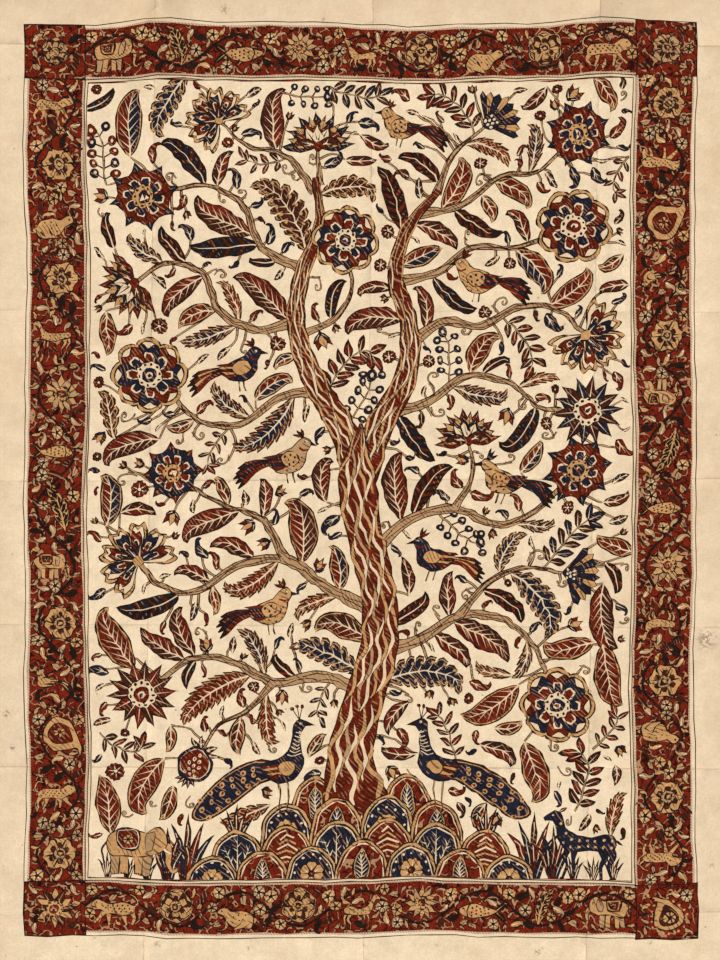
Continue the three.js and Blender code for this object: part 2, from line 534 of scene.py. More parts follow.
def leafy_shoot(spine, width, dye=MADDER):
    """An arching shoot with pairs of small leaves, and one leaf at its end."""
    drawing = Drawing()
    side = sideways(spine)
    for k in range(2, len(spine) - 1, 3):
        ahead = unit(spine[k + 1] - spine[k])
        for sign in (1, -1):
            small = leaflet(width * 0.46, width * 0.25, dye if k % 2 else CUTCH)
            drawing.stamp(small, spine[k], heading(ahead * 0.75 + sign * side[k]))
    drawing.stamp(leaflet(width * 0.5, width * 0.28, dye), spine[-2], heading(spine[-1] - spine[-2]))
    return drawing.taper(spine[:-1], [3.6, 3.0, 2.2], IRON).taper(spine[:-1], [1.7, 1.4, 0.9], BARK)


def tendril(size):
    """A thin stem that rolls up at its end."""
    turn = np.linspace(0, 1, 17)
    lean = 8.2 * turn**1.6
    steps = np.column_stack([np.sin(lean), np.cos(lean)]) * (0.19 * size * (1.12 - turn))[:, None]
    path = np.cumsum(steps, axis=0) - steps[0]
    return Drawing().taper(path, [2.6, 3.4, 4.4], IRON).taper(path, [1.0, 1.5, 2.4], BARK)


COMMA = [(0, 0), (0.24, 0.14), (0.35, 0.42), (0.31, 0.66), (0.40, 0.84), (0.62, 0.82)]
COMMA += [(0.56, 0.99), (0.30, 1.04), (0.04, 0.88), (-0.17, 0.54), (-0.14, 0.16)]


def comma(size, dye=INDIGO):
    """A small leaf whose tip rolls over, with two pale veins."""
    edge = curve(COMMA, True, 0.17) * size
    drawing = Drawing().lay(edge, IRON)
    if size > 10:
        drawing.lay(shrink(edge, 1.2), dye)
    if size > 17:
        drawing.lay(sliver(np.array([0.03, 0.10]) * size, np.array([0.13, 0.80]) * size, 2.0), RESERVE)
    if size > 24:
        drawing.lay(sliver(np.array([0.05, 0.30]) * size, np.array([0.25, 0.58]) * size, 1.8), RESERVE)
        drawing.lay(sliver(np.array([0.05, 0.36]) * size, np.array([-0.06, 0.62]) * size, 1.8), RESERVE)
    return drawing


def grass(height, blades=5, dyes=(MADDER, INDIGO, CUTCH)):
    """A tuft of bending blades."""
    drawing = Drawing()
    for k in range(blades):
        lean = 1.7 * (k - (blades - 1) / 2) / blades
        tall = height * (1 - 0.30 * abs(lean))
        spine = moved(spine_of(tall, 0.9 * lean, 0.5 * lean), (0.07 * lean * height, 0), -12 * lean)
        widths = height * 0.15 * almond(np.linspace(0.22, 1, len(spine)))
        drawing.lay(ribbon(spine, widths), IRON)
        drawing.lay(ribbon(spine[:-1], np.maximum(widths[:-1] - 2.4, 0.3)), dyes[k % len(dyes)])
        drawing.lay(ribbon(spine[1:-3], 1.1), RESERVE)
    return drawing


print("a tendril is", len(tendril(20).shapes), "outlines")
print("a tuft of grass is", len(grass(60).shapes), "outlines")

# %% [markdown]
# ## Flowers and fruit
# The big flowers of a tree of life are inventions: rosettes seen face on, and palmettes, lotuses and
# carnations seen from the side. Nearly all are one petal set in a ring or a fan, so a petal is drawn once
# with its outline, its pale heart and its pen strokes, and stamped round. Rings go down from the back to
# the front.

# %% Petals and flower hearts
def round_petal(length, width, notch=0.1, step=3.2):
    """A round petal with a dip at the middle of its tip."""
    half = width / 2
    right = [(0.55 * half, 0.35 * length), (half, 0.72 * length), (0.62 * half, length)]
    left = [(-x, y) for x, y in reversed(right)]
    return curve([(0, 0), *right, (0, (1 - notch) * length), *left], True, step)


def pointed_petal(length, width, step=3.6):
    half = width / 2
    flank = [(0.75 * half, 0.28 * length), (0.9 * half, 0.55 * length), (0.25 * half, 0.86 * length)]
    return mirrored(curve([(0, 0), *flank, (0, length)], False, step))


def painted_petal(length, width, dye, heart, notch=0.1):
    """A round petal with a pale patch and a dark heart in it, and a pen stroke on either side."""
    petal = Drawing().inked(round_petal(length, width, notch), dye)
    petal.lay(round_petal(length * 0.73, width * 0.46, 0.0), RESERVE)
    petal.lay(round_petal(length * 0.69, width * 0.33, 0.0), heart)
    for lean in (-1, 1):
        root, tip = (lean * width * 0.17, length * 0.5), (lean * width * 0.34, length * 0.86)
        petal.lay(sliver(root, tip, 1.4), IRON)
    return petal


def veined_petal(length, width, dye, vein=RESERVE):
    """A pointed petal with one vein."""
    petal = Drawing().inked(pointed_petal(length, width), dye, 1.3)
    return petal.lay(sliver((0, length * 0.25), (0, length * 0.88), 1.9), vein)


def flower_heart(radius, rim=RESERVE, middle=INDIGO, dot=MADDER, seeds=10):
    """The middle of a flower: a ringed eye in a circle of seeds."""
    heart = Drawing().inked(scalloped(radius, seeds, 0.18), rim, 1.2)
    heart.dots([around(360 * k / seeds, radius * 0.74) for k in range(seeds)], radius * 0.11, IRON)
    heart.inked(disc(radius * 0.52), middle, 0.9)
    return heart.lay(disc(radius * 0.24), RESERVE).lay(disc(radius * 0.13, chord=1.4), dot)


print("a painted petal is", len(painted_petal(30, 20, MADDER, INDIGO).shapes), "outlines")

# %% Flowers seen face on
def rosette(radius, petals=8, dyes=(MADDER, INDIGO), rim=OCHRE):
    """An open flower with a scalloped rim and notched petals in two dyes."""
    flower = Drawing().inked(scalloped(radius, petals, 0.14), rim)
    for share, dye in ((0.90, IRON), (0.865, RESERVE)):
        flower.lay(scalloped(radius * share, petals, 0.15), dye)
    width = 2 * radius * 0.80 * math.tan(math.pi / petals) * 0.96
    flower.round([painted_petal(radius * 0.82, width, *pair, 0.12) for pair in (dyes, dyes[::-1])], petals)
    return flower.stamp(flower_heart(radius * 0.36, middle=dyes[1], dot=dyes[0]))


def star_flower(radius, points=8, dyes=(INDIGO, MADDER), rim=OCHRE):
    """A flower of round petals with a back row of pointed ones showing between them."""
    width = 2 * radius * math.tan(math.pi / points) * 0.86
    flower = Drawing().round([veined_petal(radius, width * 0.8, dyes[1])], points, 180 / points)
    flower.round([painted_petal(radius * 0.76, width * 0.88, dyes[0], dyes[1], 0.06)], points)
    return flower.stamp(flower_heart(radius * 0.34, rim, dyes[1], dyes[0], 9))


def aster(radius, petals=14, dyes=(MADDER, CUTCH), rim=RESERVE):
    """A flower of many thin petals round a wide eye."""
    width = 2 * radius * 0.8 * math.tan(math.pi / petals)
    flower = Drawing().round([veined_petal(radius, width, dye) for dye in dyes], petals)
    return flower.stamp(flower_heart(radius * 0.42, rim, MADDER, INDIGO, 11))


def blossom(radius, dye=MADDER, petals=5, heart=RESERVE):
    """A small flower."""
    width = 2 * radius * math.tan(math.pi / petals) * 0.80
    petal = Drawing().inked(round_petal(radius, width, 0.05), dye, 1.2)
    if radius > 9:
        petal.lay(sliver((0, radius * 0.25), (0, radius * 0.78), 1.7), RESERVE if dye != RESERVE else MADDER)
    flower = Drawing().round([petal], petals)
    return flower.lay(disc(radius * 0.30), IRON).lay(disc(radius * 0.20, chord=1.8), heart)


print("a rosette is", len(rosette(50).shapes), "outlines")

# %% Flowers seen from the side
def palmette(radius, dyes=(MADDER, INDIGO), petals=7):
    """Two rows of petals in a fan, over a cup of small leaves."""
    width = radius * 0.62
    back = Drawing().inked(round_petal(radius * 1.25, width), OCHRE)
    for reach, share, dye in ((1.13, 0.72, IRON), (1.09, 0.62, RESERVE)):
        back.lay(round_petal(radius * reach, width * share), dye)
    front = [painted_petal(radius * 0.98, width * 0.64, *pair, 0.08) for pair in (dyes, dyes[::-1])]
    cup = [veined_petal(radius * 0.62, radius * 0.30, dye) for dye in (INDIGO, CUTCH)]
    flower = Drawing().fan([back], petals, 230).fan(front, petals, 210).fan(cup, 5, 190)
    return flower.inked(disc(radius * 0.17), OCHRE, 1.1)


def lotus(radius, dyes=(MADDER, INDIGO)):
    """Rows of pointed petals that open from a cup, with a curled leaf on either side."""
    rows = ((1.22, 0.46, 7, 176, dyes[1]), (1.08, 0.42, 6, 150, OCHRE), (0.95, 0.42, 5, 118, dyes[0]))
    flower = Drawing()
    for reach, width, count, opening, dye in (*rows, (0.80, 0.36, 3, 64, RESERVE)):
        vein = IRON if dye in (OCHRE, RESERVE) else RESERVE
        petal = veined_petal(radius * reach, radius * width, dye, vein)
        for lean in (-1, 1):
            root = (lean * radius * 0.03, radius * reach * 0.3)
            petal.lay(sliver(root, (lean * radius * width * 0.3, radius * reach * 0.66), 1.3), IRON)
        flower.fan([petal], count, opening)
    for turn in (-60, 60):
        flower.stamp(comma(radius * 0.72, CUTCH), angle=turn, flip=turn > 0)
    return flower.inked(disc(radius * 0.16), MADDER, 1.1)


def carnation(radius, dyes=(MADDER, RESERVE), rays=9, opening=128.0):
    """A fringed fan over a dotted cup."""
    flower = Drawing()
    for k in range(rays):
        low, high = (opening * (share / rays - 0.5) for share in (k, k + 1))
        corners = [(low, 0.3), (high, 0.3), (high, 1.14), ((low + high) / 2, 1.30), (low, 1.14)]
        ray = np.array([around(angle, radius * reach) for angle, reach in corners])
        flower.lay(ray, IRON).lay(shrink(ray, 1.2), dyes[k % len(dyes)])
        middle = (low + high) / 2
        flower.lay(sliver(around(middle, radius * 0.35), around(middle, radius * 1.12), 1.7), IRON)
    arc = [around(angle, radius * 0.70) for angle in np.linspace(-opening / 2, opening / 2, 14)]
    flower.lay(ribbon(np.array(arc), radius * 0.09), INDIGO)
    side = [(0, -0.08), (0.28, 0.12), (0.30, 0.42), (0.16, 0.62), (0, 0.5)]
    flower.inked(mirrored(curve(side, step=0.14)) * radius, INDIGO)
    rows = [((k - 1) * 0.16, 0.12 + 0.26 * row) for row in (0, 1) for k in range(3)]
    return flower.dots(np.array(rows + [(-0.08, 0.25), (0.08, 0.25)]) * radius, radius * 0.055, RESERVE)


print("a lotus is", len(lotus(46).shapes), "outlines")

# %% Pomegranate, mango and bud
def pomegranate(radius, dyes=(MADDER, INDIGO)):
    """A ripe fruit full of seeds, with its crown and a collar of leaves."""
    fruit = Drawing()
    collar = leaf(spine_of(radius * 0.95, 0.3), radius * 0.36, dyes[1], CUTCH, 3)
    for turn in (-118, 118, -150, 150):
        fruit.stamp(collar, (0, radius * 0.35), turn)
    crown = Drawing().fan([veined_petal(radius * 0.62, radius * 0.26, dye) for dye in dyes], 5, 110)
    fruit.stamp(crown, (0, radius * 1.42))
    side = [(0, 0), (0.55, 0.22), (0.86, 0.85), (0.62, 1.42), (0, 1.72)]
    skin = mirrored(curve(side, step=0.12)) * radius
    fruit.inked(skin, dyes[0])
    fruit.lay(shrink(skin, radius * 0.14), RESERVE).lay(shrink(skin, radius * 0.18), dyes[1])
    for row in range(5):
        for k in range(-2, 3):
            across, up = 0.26 * (k + 0.5 * (row % 2)), 0.38 + 0.235 * row
            if math.hypot(across / 0.60, up - 0.86) < 0.64:
                seed = [(across * radius, up * radius)]
                fruit.dots(seed, radius * 0.085, RESERVE).dots(seed, radius * 0.04, MADDER)
    return fruit


def mango(length, dyes=(MADDER, INDIGO)):
    """A mango, or paisley: a drop with its tip bent over, filled in rings round a small flower."""
    drop = [(0, 0), (0.30, 0.10), (0.42, 0.36), (0.30, 0.64), (0.16, 0.84), (0.30, 1.0), (0.04, 0.93)]
    drop += [(-0.22, 0.68), (-0.40, 0.36), (-0.28, 0.09)]
    core = [(0, 0.09), (0.22, 0.16), (0.29, 0.36), (0.17, 0.58), (0.02, 0.72), (-0.18, 0.57)]
    core = curve([*core, (-0.28, 0.35), (-0.19, 0.16)], True, 0.08) * length
    fruit = Drawing().inked(curve(drop, True, 0.07) * length, dyes[0])
    fruit.lay(core, OCHRE).lay(shrink(core, 1.6), IRON).lay(shrink(core, 2.6), dyes[1])
    for k in range(6):
        fruit.stamp(leaflet(length * 0.15, length * 0.1, RESERVE, MADDER), (0, length * 0.34), 60 * k)
    return fruit.lay(disc(length * 0.045, (0, length * 0.34), 1.8), MADDER)


def bud(size, dye=MADDER, cup=INDIGO):
    """A bud half open, with a leafy cup."""
    flower = Drawing()
    for turn in (-26, 26, 0):
        petal = Drawing().inked(pointed_petal(size, size * 0.46), dye if turn else OCHRE, 1.1)
        flower.stamp(petal, angle=turn)
    for turn in (-48, 48):
        flower.stamp(leaflet(size * 0.66, size * 0.32, cup), angle=turn)
    return flower.lay(disc(size * 0.12, (0, size * 0.04), 1.7), IRON)


print("a pomegranate is", len(pomegranate(34).shapes), "outlines")

# %% [markdown]
# ## Birds and beasts
# Every tree of life has guests. They are drawn facing right from a few points that a smooth curve joins,
# the way a maker blocks in a body before the details. All places and sizes are in hundredths of the
# animal's length, so any animal can be drawn at any size while its pen lines stay as thin. Legs and tails
# are tapering strokes. Spots, feathers and collars are laid over the body, and the eye always comes last.

# %% A sketch, in hundredths of its length
class Sketch(Drawing):
    """A drawing of an animal."""

    def __init__(self, length):
        super().__init__()
        self.share = length / 100

    def sized(self, places):
        return np.array(places, float) * self.share

    def body(self, places, dye, step=7.0, line=1.5):
        """A filled shape with a pen line round it."""
        return self.inked(curve(places, True, step) * self.share, dye, line)

    def limb(self, places, widths, dye, line=1.2):
        return self.stroke(self.sized(places), self.sized(widths), dye, line)

    def spots(self, places, radius, dye):
        return self.dots(self.sized(places), radius * self.share, dye)

    def pen(self, places, width, dye=IRON):
        """A line as wide in millimetres as width says."""
        return self.lay(ribbon(curve(self.sized(places)), width), dye)

    def put(self, other, at, angle=0.0):
        return self.stamp(other, self.sized(at), angle)

    def ear(self, size, at, angle, dye):
        """A small leaf, which serves as an ear, a plume, a fin or a tail."""
        return self.put(leaflet(*self.sized(size), dye), at, angle)

    def eye(self, at, radius, smallest):
        radius = max(radius * self.share, smallest)
        for share, dye in ((1.0, IRON), (0.68, RESERVE), (0.34, IRON)):
            self.lay(disc(radius * share, self.sized(at), 1.4), dye)
        return self


print("a sketch of 60 mm has hundredths of", Sketch(60).share, "mm")

# %% Wing and bird
def folded_wing(length, height, dyes):
    """A dotted shoulder, then long feathers, in hundredths of its length and its height."""
    wing = Drawing()
    share = np.array([length, height]) / 100
    for k in range(5):
        feather = [(30 - 5 * k, 12 - 7 * k), (-15, 20 - 10 * k), (-62 + 6 * k, 2 - 8 * k), (-20, -2 - 10 * k)]
        wing.inked(curve(feather, True, 20) * share, dyes[k % 2], 1.1)
    shoulder = [(36, 10), (22, 34), (-2, 32), (-16, 6), (0, -22), (24, -16)]
    wing.inked(curve(shoulder, True, 16) * share, OCHRE, 1.3)
    spots = np.array([(22, 16), (8, 20), (20, -2), (5, 2), (-6, 10), (10, -13)])
    return wing.dots(spots * share, min(length, height) * 0.055, dyes[1])


def bird(length, coat=OCHRE, dyes=(MADDER, INDIGO)):
    """A crested bird on its perch."""
    sketch = Sketch(length)
    for k in range(5):
        tip = (-66 + 3 * abs(k - 2), -2 - 7 * k)
        path = curve([(-12, 4), (-38, 5 - 3 * k), tip], step=12) * sketch.share
        widths = np.interp(np.linspace(0, 1, len(path)), [0, 0.8, 1], [5, 8.5, 2]) * sketch.share
        sketch.lay(ribbon(path, widths), IRON)
        sketch.lay(ribbon(path[:-1], np.maximum(widths[:-1] - 2.2, 0.4)), dyes[k % 2])
    for x in (5, 13):
        sketch.stroke(sketch.sized([(x - 2, -10), (x, -19), (x + 2, -25)]), [2.6, 2.2, 2.0], OCHRE, 0.7)
    sketch.lay(sketch.sized([(33, 31.5), (46, 25.5), (34.5, 24.5)]), IRON)
    back = [(-22, 3), (-8, 15), (10, 22), (18, 31), (27, 36), (35, 31)]
    breast = [(35.5, 24), (31, 16), (30, 4), (20, -9), (3, -13), (-14, -6)]
    sketch.body(back + breast, coat)
    sketch.spots([(20, 2), (25, 10), (13, -3), (22, -4), (5, -7), (27, 2), (15, -8.5)], 1.4, dyes[0])
    sketch.pen([(20, 21.5), (26.5, 19), (32.5, 20)], 2.6, dyes[0])
    sketch.put(folded_wing(*sketch.sized((52, 36)), dyes), (3, 5.5), -8)
    for turn in (10, 36, 62):
        sketch.ear((15, 5.5), (25, 34), turn, dyes[0])
    return sketch.eye((28.5, 29.5), 2.4, 1.9)


print("a bird is", len(bird(90).shapes), "outlines")

# %% Peacock
def peacock(length, dyes=(INDIGO, MADDER)):
    """A peacock standing, with its train trailing behind it."""
    sketch = Sketch(length)
    upper = [(8, 10), (-18, 14), (-48, 0), (-74, -26), (-80, -42)]
    lower = [(-64, -46), (-38, -30), (-12, -10), (5, -4)]
    train = curve(upper + lower, True, 5) * sketch.share
    sketch.inked(train, CUTCH).lay(shrink(train, 3.2), OCHRE).lay(shrink(train, 4.6), dyes[0])
    for share in (0.26, 0.40, 0.54, 0.68, 0.82, 0.95):
        for lane in (-1, 0, 1):
            slant = lane * (0.6 + 0.7 * share)
            spot = (2 * abs(lane) - 74 * share - 3.4 * slant, 5 - 43 * share**1.5 + 6.8 * slant)
            sketch.spots([spot], 2.7, OCHRE).spots([spot], 1.3, MADDER)
    for x in (8, 16):
        leg = [(x - 2, -6), (x, -22), (x - 1, -36), (x + 5, -37)]
        sketch.stroke(sketch.sized(leg), [3.4, 2.6, 2.4, 2.0], OCHRE, 0.8)
    sketch.lay(sketch.sized([(31.5, 52.5), (42, 47.5), (31.5, 46.5)]), IRON)
    back = [(-12, 10), (5, 16), (15, 24), (19, 38), (21, 50), (27, 55.5), (33.5, 52)]
    breast = [(32, 46), (28, 40), (29, 26), (31, 10), (22, -5), (5, -9), (-8, -2)]
    sketch.body(back + breast, dyes[0], 6)
    for k in range(7):
        left, height = 14.5 + 10 * (k / 7) ** 0.8, 20 + 3.6 * k
        sketch.pen([(left, height), (left + 6, height - 2), (28.5 - 0.4 * k, height + 0.5)], 1.3, RESERVE)
    sketch.put(folded_wing(*sketch.sized((36, 28)), (MADDER, OCHRE)), (10, 4.5), -6)
    for turn in (-14, 12, 38):
        plume = moved([(0, 0), (0, 13 * sketch.share)], sketch.sized((26.5, 54)), turn)
        sketch.lay(ribbon(plume, 1.4), IRON).inked(disc(2.1 * sketch.share, plume[1]), MADDER, 1.0)
    return sketch.eye((27.5, 50.5), 2.1, 2.0)


print("a peacock is", len(peacock(140).shapes), "outlines")

# %% Deer, hare and cat
def deer(length, coat=OCHRE, spot=MADDER):
    """A spotted deer, standing."""
    sketch = Sketch(length)
    legs = [([(-30, 4), (-36, -10), (-30, -22), (-33, -40)], [14, 8.5, 5, 3.5])]
    legs += [([(24, 2), (30, -14), (27, -24), (31, -38)], [10, 6, 4.2, 3.4])]
    legs += [([(-22, 2), (-25, -12), (-18, -24), (-20, -40)], [15, 9, 5, 3.6])]
    legs += [([(16, 0), (18, -16), (17, -26), (19, -40)], [11, 6.5, 4.2, 3.6])]
    hoof = np.array([(-2, 1.2), (3, 1.2), (4.5, -2.2), (-2, -2.2)])
    for places, widths in legs:
        sketch.limb(places, widths, coat, 1.3).lay(sketch.sized(hoof + places[-1]), IRON)
    back = [(-40, 14), (-28, 20), (-2, 17), (20, 20), (31, 34), (36, 48), (44, 51)]
    front = [(58, 42), (57, 36.5), (46, 36), (41, 26), (38, 8), (28, -2), (4, -4), (-20, -2), (-38, 0)]
    sketch.body(back + front, coat)
    spots = [(-34 + 11 * column, 3 + 8.5 * row) for column in range(6) for row in (0, 1)]
    spots += [(28, 20), (31, 8), (35, 33)]
    sketch.spots(spots, 2.0, spot).spots(spots, 0.9, RESERVE)
    sketch.ear((15, 7), (38.5, 47.5), 58, MADDER).ear((13, 6), (-39, 13), 118, IRON)
    sketch.pen([(34.5, 30), (38, 27.5), (41.5, 28.5)], 2.8, INDIGO)
    return sketch.eye((45.5, 44.5), 1.8, 1.9)


def hare(length, coat=BARK):
    """A hare sitting."""
    sketch = Sketch(length)
    sketch.inked(disc(7 * sketch.share, sketch.sized((-40, 10))), RESERVE, 1.1)
    sketch.limb([(20, 10), (26, -6), (34, -10)], [13, 8, 6], coat)
    back = [(-40, 10), (-28, 32), (-2, 36), (18, 34), (30, 42), (42, 40), (48, 30)]
    sketch.body([*back, (40, 22), (28, 16), (16, -2), (-10, -10), (-34, -8)], coat, 8, 1.4)
    sketch.limb([(-22, 10), (-12, -2), (6, -9)], [22, 14, 6], coat)
    for turn in (18, 42):
        sketch.ear((36, 11), (29, 38), turn, MADDER)
    sketch.spots([(-20, 24), (-5, 26), (8, 20), (-5, 12), (10, 8)], 2.2, CUTCH)
    return sketch.eye((37, 33.5), 2.6, 1.6)


def spotted_cat(length, coat=OCHRE, spot=IRON):
    """A long spotted cat, prowling with its tail over its back."""
    sketch = Sketch(length)
    sketch.limb([(-36, 10), (-47, 20), (-42, 33), (-28, 34)], [6, 5, 4.5, 4], coat, 1.1)
    legs = ([(-30, 4), (-39, -11), (-36, -24)], [(20, 2), (30, -11), (39, -20)])
    legs += ([(-22, 2), (-20, -13), (-25, -26)], [(12, 2), (13, -13), (10, -26)])
    for leg in legs:
        sketch.limb(leg, [14, 8, 6.5], coat, 1.1)
    sketch.spots([(26, 26), (35, 27.5)], 4.5, IRON)
    back = [(-41, 5), (-34, 17), (-10, 19), (14, 18), (25, 26), (37, 26)]
    front = [(46, 18), (48, 10), (40, 5), (30, 3), (18, -4), (-8, -4), (-30, -5)]
    sketch.body(back + front, coat, 9, 1.3)
    spots = [(-33 + 9.5 * k + 4 * row, 2 + 5.5 * row) for k in range(6) for row in range(3)]
    sketch.spots(spots, 1.9, spot).pen([(37, 9), (42, 10), (46, 13)], 1.4)
    return sketch.eye((37.5, 18.5), 2.4, 1.7)


print("a deer is", len(deer(104).shapes), "outlines")

# %% Elephant and fish
def elephant(length, coat=OCHRE, blanket_dye=INDIGO):
    """An elephant walking, with a cloth on its back."""
    sketch = Sketch(length)
    for x, leg_coat in ((-30, BARK), (14, BARK), (-18, coat), (2, coat)):
        sketch.limb([(x, 8), (x + 2, -12), (x + 1, -30)], [17, 13, 12.5], leg_coat)
        sketch.spots([(x + 1.2 + 3.5 * k, -29) for k in (-1, 0, 1)], 1.4, IRON)
    sketch.stroke(sketch.sized([(-38, 18), (-46, 6), (-44, -10)]), [3.4, 2.6, 3.2], CUTCH, 0.8)
    sketch.limb([(36, 16), (47, 2), (46, -16), (52, -24), (58, -20)], [17, 12, 8.5, 6.5, 5], coat)
    back = [(-40, 6), (-40, 22), (-22, 34), (2, 34), (16, 31), (26, 38), (38, 35)]
    sketch.body([*back, (45, 22), (42, 8), (30, 0), (14, -4), (-12, -4), (-32, -6)], coat)
    blanket = [(-26, 33.5), (-12, 36), (4, 34.5), (6, 16), (2, 6), (-10, 4), (-22, 6), (-27, 18)]
    edge = curve(blanket, True, 8) * sketch.share
    sketch.inked(edge, blanket_dye, 1.2).lay(shrink(edge, 2.6), RESERVE).lay(shrink(edge, 3.8), MADDER)
    sketch.put(blossom(7.5 * sketch.share, OCHRE, 6, INDIGO), (-10, 20))
    sketch.body([(16, 30), (26, 32), (28, 20), (24, 6), (16, 3), (12, 16)], BARK, 8, 1.2)
    sketch.limb([(40, 8), (48, 3), (55, 6)], [5, 4, 1], RESERVE, 0.8)
    return sketch.eye((35.5, 22.5), 2.2, 1.7)


def fish(length, dyes=(OCHRE, INDIGO)):
    """A fish with scales and fins."""
    sketch = Sketch(length)
    for sign in (1, -1):
        sketch.ear((30, 15), (-33, 0), 90 - sign * 40, dyes[1])
        sketch.ear((22, 12), (2, sign * 11), 90 - sign * 50, MADDER)
    back = [(42, 0), (32, 9), (10, 15), (-18, 11), (-38, 0)]
    sketch.body([*back, (-18, -11), (10, -15), (32, -9)], dyes[0], 8, 1.4)
    for column in range(5):
        for row in range(-1, 2):
            scale = (-20 + 8.5 * column, 7 * row + 3.5 * (column % 2) - 1.7)
            sketch.spots([scale], 2.2, dyes[1] if row else MADDER)
    sketch.pen([(20, 12), (24, 0), (20, -12)], 1.8)
    return sketch.eye((31, 2.5), 2.6, 1.7)


print("an elephant is", len(elephant(60).shapes), "outlines")

# %% [markdown]
# ## Free space
# A good tree of life has no holes and no pile-ups: every leaf is as big as its gap lets it be. The maker
# does that by eye. Here a grid of small cells keeps, for each spot, the distance to the nearest thing
# drawn so far. Reading that grid says how long a leaf may grow, and its largest value is the middle of
# the widest gap.

# %% The grid of free space
FIELD_HALF_WIDTH = 403.0
FIELD_HALF_HEIGHT = 597.0
SEED = 45


class Space:
    """How far each cell of a rectangle is from anything drawn so far, in millimetres."""

    def __init__(self, half_width, half_height, pitch=3.0):
        self.pitch = pitch
        self.corner = np.array([-half_width, -half_height])
        xs = np.arange(-half_width, half_width + pitch, pitch)
        ys = np.arange(-half_height, half_height + pitch, pitch)
        self.x, self.y = np.meshgrid(xs, ys)
        self.free = np.minimum(half_width - np.abs(self.x), half_height - np.abs(self.y))

    def take(self, at, radius, reach=70.0):
        """Marks a round spot as taken, for all cells within reach of it."""
        at = np.asarray(at, float)
        low = np.maximum(((at - radius - reach - self.corner) / self.pitch).astype(int), 0)
        high = np.maximum(((at + radius + reach - self.corner) / self.pitch).astype(int) + 1, 0)
        window = (slice(low[1], high[1]), slice(low[0], high[0]))
        away = np.hypot(self.x[window] - at[0], self.y[window] - at[1]) - radius
        self.free[window] = np.minimum(self.free[window], away)

    def cover(self, drawing, gap=2.5, cell=6.0):
        """Marks everything under a drawing as taken, and a gap round it."""
        points = np.vstack([shape for shape, _ in drawing.shapes])
        for spot in np.unique(np.round(points / cell), axis=0) * cell:
            self.take(spot, gap + cell / 3)

    def room(self, points):
        """The free distance at each of some points."""
        index = np.round((np.atleast_2d(points) - self.corner) / self.pitch).astype(int)
        column = np.clip(index[:, 0], 0, self.x.shape[1] - 1)
        row = np.clip(index[:, 1], 0, self.x.shape[0] - 1)
        return self.free[row, column]

    def widest(self, near=(0, 0), within=2000.0):
        """The middle of the widest gap within a distance of a place, and the gap's radius."""
        close = np.hypot(self.x - near[0], self.y - near[1]) < within
        row, column = np.unravel_index(np.argmax(np.where(close, self.free, -1)), self.free.shape)
        return np.array([self.x[row, column], self.y[row, column]]), float(self.free[row, column])


field = Space(FIELD_HALF_WIDTH, FIELD_HALF_HEIGHT)
twigs, foliage, boughs, ground_life, blooms = (Drawing() for _ in range(5))
hand = random.Random(SEED)


def place(layer, drawing, at=(0, 0), angle=0.0, flip=False, gap=2.5):
    """Stamps a motif on the field and keeps its place free of later ones."""
    put = Drawing().stamp(drawing, at, angle, 1.0, flip)
    layer.stamp(put)
    field.cover(put, gap)


print("the field has", field.free.size, "cells")

# %% [markdown]
# ## The trunk, the boughs and their flowers
# The trunk sways as it rises, forks in two, and carries a flame pattern: pale and ochre tongues on
# madder. Boughs leave it on either side, arch over and end in a big flower, and some fork again. These
# lines decide the whole picture, so they are listed: a table with a row for each bough. The trunk
# is drawn over the boughs and hides their roots.

# %% The trunk
TRUNK = [(-4, -505), (-16, -420), (4, -335), (30, -250), (30, -165), (6, -80), (-6, 0), (0, 84)]
LEFT_LEADER = [(-4, -10), (-26, 70), (-72, 146), (-98, 226), (-86, 306), (-58, 380), (-66, 452)]
RIGHT_LEADER = [(2, -10), (26, 76), (66, 150), (72, 230), (54, 304), (76, 380), (122, 438)]
TRUNK_WIDTHS = [104, 70, 60, 57, 54, 54, 60, 5]
LEADER_WIDTHS = [40, 42, 36, 30, 25, 19, 10]
THIN_LIMB = 27
FLAME_LANES = np.linspace(-0.40, 0.40, 7)
FLAME_SWAY, FLAME_WIDTH, FLAME_LINE = 0.07, 0.085, 1.8
LIMB_LINES, THINNEST_FILL = 3.6, 2
FLAME_DYES = (OCHRE, RESERVE, OCHRE, RESERVE, BARK, RESERVE, OCHRE)


def flaming_limb(path, widths):
    """A madder limb with pale flames running up it."""
    filled = ribbon(path, np.maximum(widths - LIMB_LINES, THINNEST_FILL))
    limb = Drawing().lay(ribbon(path, widths), IRON).lay(filled, MADDER)
    side = sideways(path)
    for number, lane in enumerate(FLAME_LANES):
        start = 1 + number * 5 % 7
        while start < len(path) - 7:
            span = min(hand.randint(9, 17), len(path) - 2 - start)
            index = np.arange(start, start + span + 1)
            start += span + hand.randint(1, 2)
            if widths[index[0]] < THIN_LIMB and number % 2:
                continue
            sway = lane + FLAME_SWAY * np.sin(index * 0.9 + number * 1.7)
            flame = path[index] + side[index] * (sway * widths[index])[:, None]
            swell = np.interp(np.linspace(0, 1, len(index)), [0, 0.15, 0.8, 1], [0.3, 0.9, 1, 0.15])
            across = FLAME_WIDTH * widths[index] * swell
            limb.lay(ribbon(flame, across + FLAME_LINE), CUTCH).lay(ribbon(flame, across), FLAME_DYES[number])
    return limb


